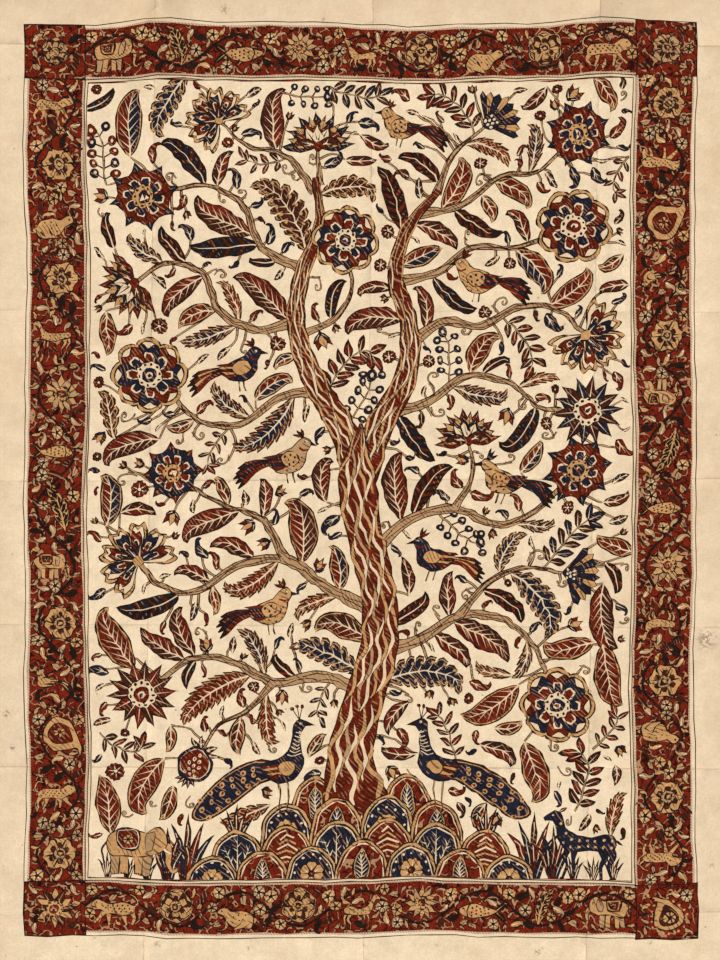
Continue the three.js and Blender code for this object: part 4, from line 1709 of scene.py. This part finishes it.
def straightened(points, edges):
    """Edges without the points at which a line hardly bends, or that lie too close to the next to be seen."""
    neighbours = {}
    for a, b in edges.tolist():
        neighbours.setdefault(a, set()).add(b)
        neighbours.setdefault(b, set()).add(a)
    for middle in list(neighbours):
        if len(neighbours[middle]) != 2:
            continue
        a, b = neighbours[middle]
        chord = points[b] - points[a]
        run = math.hypot(*chord)
        from_a = points[middle] - points[a]
        off = abs(chord[0] * from_a[1] - chord[1] * from_a[0]) / max(run, SNAP)
        closest = min(math.hypot(*from_a), math.hypot(*(points[middle] - points[b])))
        if b not in neighbours[a] and run < LONGEST_RUN and (off < STRAIGHT or closest < CLOSE):
            del neighbours[middle]
            neighbours[a].discard(middle)
            neighbours[b].discard(middle)
            neighbours[a].add(b)
            neighbours[b].add(a)
    return [(a, b) for a in neighbours for b in neighbours[a] if a < b]


kept_edges = straightened(rough_points, visible_edges(rough_faces, rough_dyes))
print("edges kept:", len(kept_edges))

# %% [markdown]
# ## One closed sheet
# The face gets points along every fold, so that the cloth can bend where the real one does, and a looser
# sheet below it is the back. A solidify modifier would give the back as many triangles as the face, so
# the back is triangulated apart, from the same edge, and a rim joins the two. The lighting should see the
# cloth's bending and not the triangles, so each corner takes its normal from the height formula.

# %% Points for the folds
FACE_ROWS = (-15, -6, -3.2, -0.7, 0.7, 3.2, 6, 15)
BACK_ROWS = (-22, -9, 0, 9, 22)


def within_edges(step):
    """Places a step apart over the width and over the length of the cloth, clear of its edges."""
    return [np.arange(-half + EDGE_GAP, half - EDGE_GAP, step) for half in (HALF_WIDTH, HALF_LENGTH)]


def relief_points(grid_step, rows, row_step):
    """A loose grid of points, with rows of them beside each fold and on the hems' slopes."""
    spots = [np.array(np.meshgrid(*within_edges(grid_step))).reshape(2, -1).T]
    along_across, along_up = within_edges(row_step)
    for row in rows:
        for fold in UPRIGHT_FOLDS:
            spots.append(np.column_stack([line_at(fold, along_up, HALF_LENGTH) + row, along_up]))
        for fold in LEVEL_FOLDS:
            spots.append(np.column_stack([along_across, line_at(fold, along_across, HALF_WIDTH) + row]))
    for foot in (HEM_WIDTH, HEM_WIDTH + HEM_RAMP):
        for sign in (-1, 1):
            level = np.full_like(along_across, sign * (HALF_LENGTH - foot))
            spots.append(np.column_stack([along_across, level]))
    return np.vstack(spots)


face_spots = relief_points(grid_step=24.0, rows=FACE_ROWS, row_step=18.0)
back_spots = relief_points(grid_step=60.0, rows=BACK_ROWS, row_step=45.0)
print(len(face_spots), "points for the face and", len(back_spots), "for the back")

# %% Face, back and rim
used, renumbered = np.unique(np.array(kept_edges), return_inverse=True)
face_plan, face_triangles = triangulated(
    np.vstack([rough_points[used], face_spots]), renumbered.reshape(-1, 2).tolist()
)
face_dyes = dyes_at(face_plan[face_triangles].mean(axis=1))


def rim_of(triangles):
    """The points round the edge of a sheet of triangles, in order."""
    sides = np.vstack([triangles[:, [0, 1]], triangles[:, [1, 2]], triangles[:, [2, 0]]]).tolist()
    there = set(map(tuple, sides))
    following = {a: b for a, b in there if (b, a) not in there}
    rim = [min(following)]
    while len(rim) < len(following):
        rim.append(following[rim[-1]])
    return np.array(rim)


rim = rim_of(face_triangles)
rim_numbers = np.arange(len(rim))
rim_edges = np.column_stack([rim_numbers, np.roll(rim_numbers, -1)]).tolist()
back_plan, back_triangles = triangulated(np.vstack([face_plan[rim], back_spots]), rim_edges)
print(len(face_triangles), "triangles on the face and", len(back_triangles), "on the back")

# %% The piece, with a normal for each corner
SLOPE_STEP = 0.4
BACK_LOOK = 11.0


def normals_of(height, plan):
    """Unit normals of a height formula, at points of the plan."""
    x, y = plan.T
    slope_x = (height(x + SLOPE_STEP, y) - height(x - SLOPE_STEP, y)) / (2 * SLOPE_STEP)
    slope_y = (height(x, y + SLOPE_STEP) - height(x, y - SLOPE_STEP)) / (2 * SLOPE_STEP)
    return unit(np.column_stack([-slope_x, -slope_y, np.ones_like(x)]))


def lowest_near(plan, reach):
    """The lowest the underside lies at a point of the plan or at a reach from it."""
    ways = [around(45 * k, reach) for k in range(8)]
    return np.min([lift(*(plan + way).T) for way in [(0, 0), *ways]], axis=0)


face_corners = np.column_stack([face_plan, face_height(*face_plan.T)])
back_corners = np.column_stack([back_plan, lowest_near(back_plan, BACK_LOOK)])
back_rim = len(face_corners) + rim_numbers
next_rim, next_back_rim = np.roll(rim, -1), np.roll(back_rim, -1)
rim_triangles = np.vstack([
    np.column_stack([rim, back_rim, next_back_rim]),
    np.column_stack([rim, next_back_rim, next_rim]),
])
triangles = np.vstack([face_triangles, back_triangles[:, ::-1] + len(face_corners), rim_triangles])
corners = np.vstack([face_corners, back_corners]) * MM

cloth_mesh = bpy.data.meshes.new("dyed_panel")
cloth_mesh.from_pydata(corners.tolist(), [], triangles.tolist())
dyed_panel = bpy.data.objects.new("dyed_panel", cloth_mesh)
bpy.context.scene.collection.objects.link(dyed_panel)

rim_run = corners[next_rim] - corners[rim]
rim_outward = np.tile(unit(np.column_stack([rim_run[:, 1], -rim_run[:, 0], np.zeros(len(rim))])), (2, 1))
corner_normals = np.vstack([
    normals_of(face_height, face_plan)[face_triangles].reshape(-1, 3),
    -normals_of(lift, back_plan)[back_triangles[:, ::-1]].reshape(-1, 3),
    np.repeat(rim_outward, 3, axis=0),
])
cloth_mesh.polygons.foreach_set("use_smooth", np.ones(len(triangles), dtype=bool))
cloth_mesh.normals_split_custom_set(corner_normals.tolist())
print("the piece has", len(triangles), "triangles and", len(corners), "points")

# %% A map of the cloth
FACE_MAP = np.array([0.74, 0.985])
BACK_MAP = np.array([0.22, 0.30])
BACK_CORNER = np.array([0.76, 0.02])
RIM_SIDES = ((0.80, 0.82, 0.82), (0.80, 0.82, 0.80))
RIM_LOW, RIM_SPAN = 0.4, 0.5


def map_place(plan):
    """Places on the plan as shares of the cloth's width and length."""
    return plan / np.array([CLOTH_WIDTH, CLOTH_LENGTH]) + 0.5


face_map = map_place(face_plan)[face_triangles].reshape(-1, 2) * FACE_MAP
back_map = map_place(back_plan)[back_triangles[:, ::-1]].reshape(-1, 2) * BACK_MAP + BACK_CORNER
rim_steps = rim_numbers[:, None] + np.array([(0, 0, 1), (0, 1, 1)])[:, None]
rim_up = RIM_LOW + RIM_SPAN * rim_steps / len(rim)
rim_side = np.broadcast_to(np.array(RIM_SIDES)[:, None], rim_up.shape)
rim_map = np.stack([rim_side, rim_up], axis=-1).reshape(-1, 2)
cloth_map = cloth_mesh.uv_layers.new(name="OFBake")
cloth_map.data.foreach_set("uv", np.vstack([face_map, back_map, rim_map]).astype(np.float32).ravel())
print("the map has", len(cloth_map.data), "corners")

# %% [markdown]
# ## Dyes on handwoven cotton
# Handspun cotton is uneven: thick places in the yarn run across and up the cloth as faint streaks, and the
# plain weave shows as a fine checked grain. The dyes soak in, so they keep the grain, pool in blotches and
# wear off the tops of the threads. All finishes here share that cotton, so one function builds the weave and
# each dye adds its colour, how blotchy it is and how far it is worn. Everything is placed by the cloth's own
# coordinates in metres, so no picture file is needed.

# %% Nodes by name
def feed(tree, socket, value):
    """Sets a socket to a value, or links it to the socket that the value is."""
    if isinstance(value, bpy.types.NodeSocket):
        tree.links.new(value, socket)
    else:
        socket.default_value = value


def add_node(tree, kind, settings=None, **sockets):
    """A node with its settings and its named sockets filled in."""
    node = tree.nodes.new(kind)
    for name, value in (settings or {}).items():
        setattr(node, name, value)
    for name, value in sockets.items():
        feed(tree, node.inputs[name.replace("_", " ")], value)
    return node


def noise(tree, where, scale, detail=2.0, roughness=0.5):
    cloud = add_node(tree, "ShaderNodeTexNoise", Vector=where, Scale=scale, Detail=detail)
    cloud.inputs["Roughness"].default_value = roughness
    return cloud.outputs[0]


def ranged(tree, value, low, high, to_low, to_high):
    """A value read between low and high, told over to another range."""
    node = add_node(tree, "ShaderNodeMapRange", Value=value)
    for name, number in zip(("From Min", "From Max", "To Min", "To Max"), (low, high, to_low, to_high)):
        node.inputs[name].default_value = number
    return node.outputs[0]


def patches(tree, where, scale, detail, low, high, least=0.0, most=1.0):
    """Patches of a noise: least where it is below low, most where it is above high."""
    return ranged(tree, noise(tree, where, scale, detail), low, high, least, most)


def worked(tree, operation, first, second=0.0, third=None):
    """A sum, a product or the like, of two or three numbers."""
    node = add_node(tree, "ShaderNodeMath", {"operation": operation})
    feed(tree, node.inputs[0], first)
    feed(tree, node.inputs[1], second)
    return node.outputs[0] if third is None else worked(tree, operation, node.outputs[0], third)


def measured(tree, operation, where, other):
    """A distance or a product of a place on the cloth with a fixed place."""
    node = add_node(tree, "ShaderNodeVectorMath", {"operation": operation})
    feed(tree, node.inputs[0], where)
    feed(tree, node.inputs[1], other)
    return node.outputs["Value"]


def mixed(tree, share, first, second, blend="MIX"):
    """Two colours mixed, where a colour is a socket or four numbers."""
    node = add_node(tree, "ShaderNodeMix", {"data_type": "RGBA", "blend_type": blend})
    for number, value in ((0, share), (6, first), (7, second)):
        feed(tree, node.inputs[number], value)
    return node.outputs[2]


def linear(red, green, blue):
    """A colour as a painter's chart gives it, from 0 to 255, in the renderer's own linear scale."""
    shares = np.array([red, green, blue]) / 255
    return (*np.where(shares <= 0.04045, shares / 12.92, ((shares + 0.055) / 1.055) ** 2.4), 1.0)


print("madder as the renderer takes it:", [round(float(part), 3) for part in linear(108, 33, 13)])

# %% Threads and strokes
THREAD_PITCH = 0.0006
PEN_STROKE = 0.0042
COMB_STROKE = 0.0021
WAVE_TURNS = 20.0  # a wave texture's own number of radians for each unit of its scale


def ridges(tree, where, direction, pitch, distortion, detail=1.0, detail_scale=1.0):
    """Waves from 0 to 1 across the cloth, a pitch apart in metres."""
    scale = 2 * math.pi / (WAVE_TURNS * pitch)
    wave = add_node(tree, "ShaderNodeTexWave", {"bands_direction": direction}, Vector=where, Scale=scale)
    for name, value in (("Distortion", distortion), ("Detail", detail), ("Detail Scale", detail_scale)):
        wave.inputs[name].default_value = value
    return wave.outputs["Fac"]


def weave(tree, where):
    """Heights of a plain weave: ridges of weft and warp, thick and thin with the yarn."""
    return worked(tree, "MAXIMUM", *(ridges(tree, where, way, THREAD_PITCH, 0.6) for way in "XY"))


def hatching(tree, where):
    """Strokes that wander over the cloth as a pen does."""
    return ridges(tree, where, "DIAGONAL", PEN_STROKE, 40.0, detail_scale=0.13)


print("threads are", THREAD_PITCH / MM, "mm apart and pen strokes", PEN_STROKE / MM, "mm")

# %% [markdown]
# ## Tone, painted fold shade and marks
# Where no dye went, an old cloth shows its age: it has bits of seed husk and small stains. The bare cotton is
# also darker and browner towards its long sides and its top end, and painted shade lies in a thin line along
# every pressed fold. A picture of dirt would repeat itself. Here the painted shade follows the same fold
# lines as the heights do, the clouds are noises of two sizes, and the few marks that can be told apart are
# placed one by one.

# %% Bare cotton, aged
# The tone that bare cotton darkens to towards its long sides and its top end.
EDGEWARD_TONE = linear(223, 192, 160)
CLOUDED = linear(204, 166, 122)
# The colour of the painted shade along the folds.
FOLD_SHADE_COLOUR = linear(150, 112, 78)
HUSK = linear(104, 68, 44)
# The painted fold shade's line width in metres, and its darkness for each millimetre of a fold's rise.
FOLD_SHADE_WIDTH = 0.0014
FOLD_SHADE_DEPTH = 0.14
# A mark is where it lies on the cloth, how far it reaches, and how dark it is.
MARKS = [
    (0.519, -0.240, 0.021, 0.55),
    (0.522, 0.603, 0.005, 0.70),
    (0.528, -0.578, 0.006, 0.60),
    (-0.528, 0.603, 0.005, 0.60),
    (-0.530, -0.350, 0.007, 0.70),
    (-0.521, -0.401, 0.006, 0.60),
    (-0.533, -0.582, 0.006, 0.60),
    (-0.383, -0.696, 0.006, 0.60),
    (-0.304, -0.697, 0.007, 0.60),
    (-0.165, -0.702, 0.006, 0.60),
    (0.117, -0.696, 0.006, 0.60),
    (0.266, -0.708, 0.007, 0.65),
    (0.435, -0.694, 0.005, 0.80),
    (-0.203, 0.706, 0.010, 0.50),
    (-0.052, 0.690, 0.008, 0.55),
]
MARK_HEIGHT = 0.004


def painted_fold_shade(tree, where):
    """How much painted shade lies along the pressed line of every fold, in a thin broken line."""
    deepest = 0.0
    for folds, half_run, upright in ((UPRIGHT_FOLDS, HALF_LENGTH, True), (LEVEL_FOLDS, HALF_WIDTH, False)):
        for start, end, rise, _ in folds:
            lean = (start - end) / (2 * half_run)
            across = measured(tree, "DOT_PRODUCT", where, (1, lean, 0) if upright else (lean, 1, 0))
            away = worked(tree, "ABSOLUTE", worked(tree, "SUBTRACT", across, (start + end) / 2 * MM))
            line = ranged(tree, away, FOLD_SHADE_WIDTH * 0.2, FOLD_SHADE_WIDTH, FOLD_SHADE_DEPTH * rise, 0.0)
            deepest = worked(tree, "MAXIMUM", line, deepest)
    return worked(tree, "MULTIPLY", deepest, patches(tree, where, 15.0, 3.0, 0.36, 0.58, 0.3))


def aged(tree, where, tinted):
    """Bare cotton, darker towards its sides and top end, with painted shade along its folds, clouds, husks of
    seed and brown marks.
    """
    apart = add_node(tree, "ShaderNodeSeparateXYZ", Vector=where)
    # Darker and browner towards the long sides and the top end.
    across = ranged(tree, worked(tree, "ABSOLUTE", apart.outputs[0]), 0.46, 0.58, 0.0, 0.42)
    up = ranged(tree, apart.outputs[1], 0.62, 0.76, 0.0, 0.62)
    tinted = mixed(tree, worked(tree, "MAXIMUM", across, up), tinted, EDGEWARD_TONE)
    for scale, depth in ((3.4, 0.28), (21.0, 0.24)):
        clouds = ranged(tree, noise(tree, where, scale, 5.0, 0.64), 0.48, 0.74, 0.0, depth)
        tinted = mixed(tree, clouds, tinted, CLOUDED)
    # Painted shade in a thin line along every fold.
    tinted = mixed(tree, painted_fold_shade(tree, where), tinted, FOLD_SHADE_COLOUR)
    husks = add_node(tree, "ShaderNodeTexVoronoi", Vector=where, Scale=52.0)
    near = ranged(tree, husks.outputs["Distance"], 0.04, 0.09, 0.62, 0.0)
    some = patches(tree, where, 19.0, 1.0, 0.54, 0.60)
    tinted = mixed(tree, worked(tree, "MULTIPLY", near, some), tinted, HUSK)
    blots = patches(tree, where, 260.0, 2.0, 0.46, 0.56)
    for x, y, reach, depth in MARKS:
        away = measured(tree, "DISTANCE", where, (x, y, MARK_HEIGHT))
        close = ranged(tree, away, reach * 0.3, reach, depth, 0.0)
        tinted = mixed(tree, worked(tree, "MULTIPLY", close, blots), tinted, HUSK)
    return tinted


print(len(MARKS), "marks placed on the bare cotton")

# %% [markdown]
# ## What is drawn in the dyes
# Close up, no dye is plain. The pen leaves short strokes in it, a printed ground is full of black tendrils
# and small pale curls, and a comb of fine strokes edges the bands. There are far too many of these to draw
# each as an outline, and none has a place of its own, so they are patterns of nodes: waves pulled about
# for pen strokes, and the level lines of a noise for curls.

# %% Curls, pen strokes and combs
SOOT = linear(30, 13, 9)
CURL = linear(202, 148, 106)
PEN_DARK = linear(24, 14, 13)
PEN_PALE = linear(190, 138, 104)
PEN_BROWN = linear(66, 36, 24)
COMB_BROWN = linear(118, 74, 56)


def curled(tree, where, tinted):
    """The crowded ground of a printed block: thin black tendrils, and small pale curls with dark outlines."""
    drift = add_node(tree, "ShaderNodeTexNoise", Vector=where, Scale=110.0, Detail=1.0).outputs["Color"]
    bent = mixed(tree, 0.008, where, drift, "ADD")
    net = add_node(tree, "ShaderNodeTexVoronoi", {"feature": "DISTANCE_TO_EDGE"}, Vector=bent, Scale=46.0)
    tendrils = ranged(tree, net.outputs["Distance"], 0.013, 0.040, 1.0, 0.0)
    shade = patches(tree, bent, 64.0, 1.0, 0.655, 0.69, most=0.9)
    level = worked(tree, "ABSOLUTE", worked(tree, "SUBTRACT", noise(tree, bent, 74.0, 0.0), 0.5))
    here = patches(tree, where, 78.0, 1.0, 0.45, 0.48)
    outline = worked(tree, "MULTIPLY", ranged(tree, level, 0.064, 0.076, 1.0, 0.0), here)
    tinted = mixed(tree, worked(tree, "MAXIMUM", tendrils, outline, shade), tinted, SOOT)
    curls = worked(tree, "MULTIPLY", ranged(tree, level, 0.028, 0.046, 0.82, 0.0), here)
    return mixed(tree, curls, tinted, CURL)


def penned(tree, where, tinted):
    """A dark dye with pen strokes in it, darker ones and between them broken pale ones."""
    hatch = hatching(tree, where)
    dark_here = patches(tree, where, 46.0, 1.0, 0.42, 0.50)
    pale_here = patches(tree, where, 75.0, 2.0, 0.50, 0.56)
    dark = worked(tree, "MULTIPLY", ranged(tree, hatch, 0.12, 0.40, 0.60, 0.0), dark_here)
    pale = worked(tree, "MULTIPLY", ranged(tree, hatch, 0.80, 0.96, 0.0, 0.66), pale_here)
    return mixed(tree, pale, mixed(tree, dark, tinted, PEN_DARK), PEN_PALE)


def lined(tree, where, tinted):
    """A pale dye with a few thin brown pen strokes."""
    here = patches(tree, where, 58.0, 2.0, 0.47, 0.53)
    strokes = worked(tree, "MULTIPLY", ranged(tree, hatching(tree, where), 0.06, 0.26, 0.72, 0.0), here)
    return mixed(tree, strokes, tinted, PEN_BROWN)


def combed(tree, where, tinted):
    """Fine dark strokes side by side on the cotton."""
    strokes = ridges(tree, where, "DIAGONAL", COMB_STROKE, 1.0, 2.0)
    return mixed(tree, ranged(tree, strokes, 0.35, 0.65, 0.0, 0.6), tinted, COMB_BROWN)


print("curls, pen strokes and combs are ready")

# %% One finish for each dye
BARE_THREAD = linear(214, 176, 130)
YARN_ALONG, YARN_ACROSS = 30.0, 420.0
POOL_SCALE, GRAIN_SCALE, WEAR_SCALE, CRUMPLE_SCALE = 34.0, 380.0, 620.0, 58.0
CRUMPLE_HEIGHT, THREAD_HEIGHT = 0.0012, 0.00018


def yarn_streaks(tree, where):
    """Thick and thin places of the yarn, drawn out along the weft and along the warp."""
    streaks = []
    for stretch in ((YARN_ALONG, YARN_ACROSS, 1.0), (YARN_ACROSS, YARN_ALONG, 1.0)):
        drawn_out = add_node(tree, "ShaderNodeMapping", Vector=where, Scale=stretch).outputs[0]
        streaks.append(patches(tree, drawn_out, 1.0, 2.0, 0.3, 0.7, -0.5, 0.5))
    return worked(tree, "ADD", *streaks)


def dyed_cotton(name, colour, mottle, wear, drawn=None):
    """Cotton with one dye: how far it pools, how far it is worn off the threads, and what is drawn on it."""
    material = bpy.data.materials.new(name)
    material.use_nodes = True
    tree = material.node_tree
    shader = tree.nodes["Principled BSDF"]
    where = add_node(tree, "ShaderNodeTexCoord").outputs["Object"]
    threads, slubs = weave(tree, where), yarn_streaks(tree, where)
    pools = ranged(tree, noise(tree, where, POOL_SCALE, 7.0, 0.78), 0.3, 0.7, 1 - mottle, 1 + mottle)
    fine = 0.8 * mottle
    grain = ranged(tree, noise(tree, where, GRAIN_SCALE, 2.0, 0.7), 0.3, 0.7, 1 - fine, 1 + fine)
    tone = worked(tree, "MULTIPLY", pools, ranged(tree, slubs, -1.0, 1.0, 0.97, 1.03), grain)
    tinted = mixed(tree, 1.0, linear(*colour), tone, "MULTIPLY")
    bare = ranged(tree, noise(tree, where, WEAR_SCALE, 2.0, 0.6), 0.56, 0.74, 0.0, wear)
    tinted = mixed(tree, bare, tinted, BARE_THREAD)
    feed(tree, shader.inputs["Base Color"], drawn(tree, where, tinted) if drawn else tinted)
    feed(tree, shader.inputs["Roughness"], ranged(tree, threads, 0.0, 1.0, 0.97, 0.86))
    shader.inputs["Specular IOR Level"].default_value = 0.06
    shader.inputs["Sheen Weight"].default_value = 0.02
    shader.inputs["Sheen Roughness"].default_value = 0.55
    crumples = noise(tree, where, CRUMPLE_SCALE, 3.0, 0.6)
    crumple = add_node(tree, "ShaderNodeBump", Strength=0.6, Distance=CRUMPLE_HEIGHT, Height=crumples)
    bump = add_node(tree, "ShaderNodeBump", Strength=0.35, Distance=THREAD_HEIGHT)
    feed(tree, bump.inputs["Normal"], crumple.outputs["Normal"])
    feed(tree, bump.inputs["Height"], worked(tree, "ADD", threads, slubs))
    feed(tree, shader.inputs["Normal"], bump.outputs["Normal"])
    return material


# A finish is its name, its colour, how far it pools, how far it is worn, and what is drawn on it.
FINISHES = [
    ("bare_cotton", (250, 227, 193), 0.115, 0.10, aged),
    ("madder_red", (108, 33, 13), 0.55, 0.05, penned),
    ("indigo_blue", (30, 34, 50), 0.50, 0.05, penned),
    ("iron_black", (36, 22, 17), 0.50, 0.05, None),
    ("cutch_brown", (72, 32, 20), 0.50, 0.05, penned),
    ("ochre_yellow", (206, 156, 102), 0.22, 0.10, lined),
    ("bark_tan", (188, 148, 106), 0.22, 0.10, lined),
    ("reserved_cotton", (238, 210, 172), 0.14, 0.10, None),
    ("block_red", (117, 32, 14), 0.55, 0.05, curled),
    ("comb_strokes", (226, 196, 164), 0.15, 0.10, combed),
    ("back_of_cloth", (226, 200, 164), 0.10, 0.30, aged),
]
for finish in FINISHES:
    cloth_mesh.materials.append(dyed_cotton(*finish))
BACK = len(FINISHES) - 1
finish_numbers = np.append(face_dyes, np.full(len(triangles) - len(face_dyes), BACK))
cloth_mesh.polygons.foreach_set("material_index", finish_numbers.astype(np.int32))
cloth_mesh.update()
shares = np.bincount(face_dyes, minlength=BACK) / len(face_dyes)
for (name, *_), share in zip(FINISHES, shares):
    print(name, "is on", round(100 * share), "percent of the face's triangles")

# %% [markdown]
# ## Floor, light and camera
# The cloth lies on a plain pale floor and is seen from straight above, close enough that it runs out of
# the picture on all sides. A wide sun, low from the upper left, is a window or a big softbox: it catches
# the folds without a hard shadow. An even pale sky fills in the rest, so that the dyes keep their depth.

# %% Floor
FLOOR_HALF = 16.0
FLOOR_HEIGHT = -0.0002
FLOOR_COLOUR = linear(205, 202, 196)
floor_mesh = bpy.data.meshes.new("floor")
floor_corners = [(x * FLOOR_HALF, y * FLOOR_HALF, 0.0) for x, y in ((-1, -1), (1, -1), (1, 1), (-1, 1))]
floor_mesh.from_pydata(floor_corners, [], [(0, 1, 2, 3)])
floor = bpy.data.objects.new("floor", floor_mesh)
bpy.context.scene.collection.objects.link(floor)
floor.location.z = FLOOR_HEIGHT
floor_paint = bpy.data.materials.new("floor_paint")
floor_paint.use_nodes = True
paint_tree = floor_paint.node_tree
paint_where = add_node(paint_tree, "ShaderNodeTexCoord").outputs["Object"]
paint_tone = ranged(paint_tree, noise(paint_tree, paint_where, 2.0, 4.0), 0.3, 0.7, 0.97, 1.03)
paint_colour = mixed(paint_tree, 1.0, FLOOR_COLOUR, paint_tone, "MULTIPLY")
paint_shader = paint_tree.nodes["Principled BSDF"]
feed(paint_tree, paint_shader.inputs["Base Color"], paint_colour)
paint_shader.inputs["Roughness"].default_value = 0.8
floor_mesh.materials.append(floor_paint)
print("floor", 2 * FLOOR_HALF, "m across")

# %% Light
SUN_FROM = (-1.0, 0.75, 0.95)
SUN_WIDTH = math.radians(22)
SUN_STRENGTH, SKY_STRENGTH = 1.75, 0.62
SUN_COLOUR = (1.0, 0.975, 0.94)
SKY_COLOUR = (1.0, 0.985, 0.96, 1.0)
sun_light = bpy.data.lights.new("window", "SUN")
sun_light.energy = SUN_STRENGTH
sun_light.angle = SUN_WIDTH
sun_light.color = SUN_COLOUR
sun = bpy.data.objects.new("window", sun_light)
sun.rotation_euler = Vector(SUN_FROM).to_track_quat("Z", "Y").to_euler()
bpy.context.scene.collection.objects.link(sun)

room = bpy.data.worlds.new("pale_room")
room.use_nodes = True
backdrop = room.node_tree.nodes["Background"]
backdrop.inputs["Color"].default_value = SKY_COLOUR
backdrop.inputs["Strength"].default_value = SKY_STRENGTH
bpy.context.scene.world = room
bpy.context.scene.view_settings.view_transform = "Standard"
print("sun from", SUN_FROM)

# %% Camera
PICTURE_HEIGHT = 1.44
LENS = 70.0
SENSOR = 36.0
camera_lens = bpy.data.cameras.new("camera")
camera_lens.lens = LENS
camera_lens.sensor_width = SENSOR
camera = bpy.data.objects.new("camera", camera_lens)
camera.location = (0.0, 0.0, middle_height * MM + PICTURE_HEIGHT * LENS / SENSOR)
bpy.context.scene.collection.objects.link(camera)
bpy.context.scene.camera = camera
print("camera", round(camera.location.z, 3), "m up")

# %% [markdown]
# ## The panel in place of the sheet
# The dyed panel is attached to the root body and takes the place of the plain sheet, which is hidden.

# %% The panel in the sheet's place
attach(dyed_panel, "root")
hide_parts("cloth")
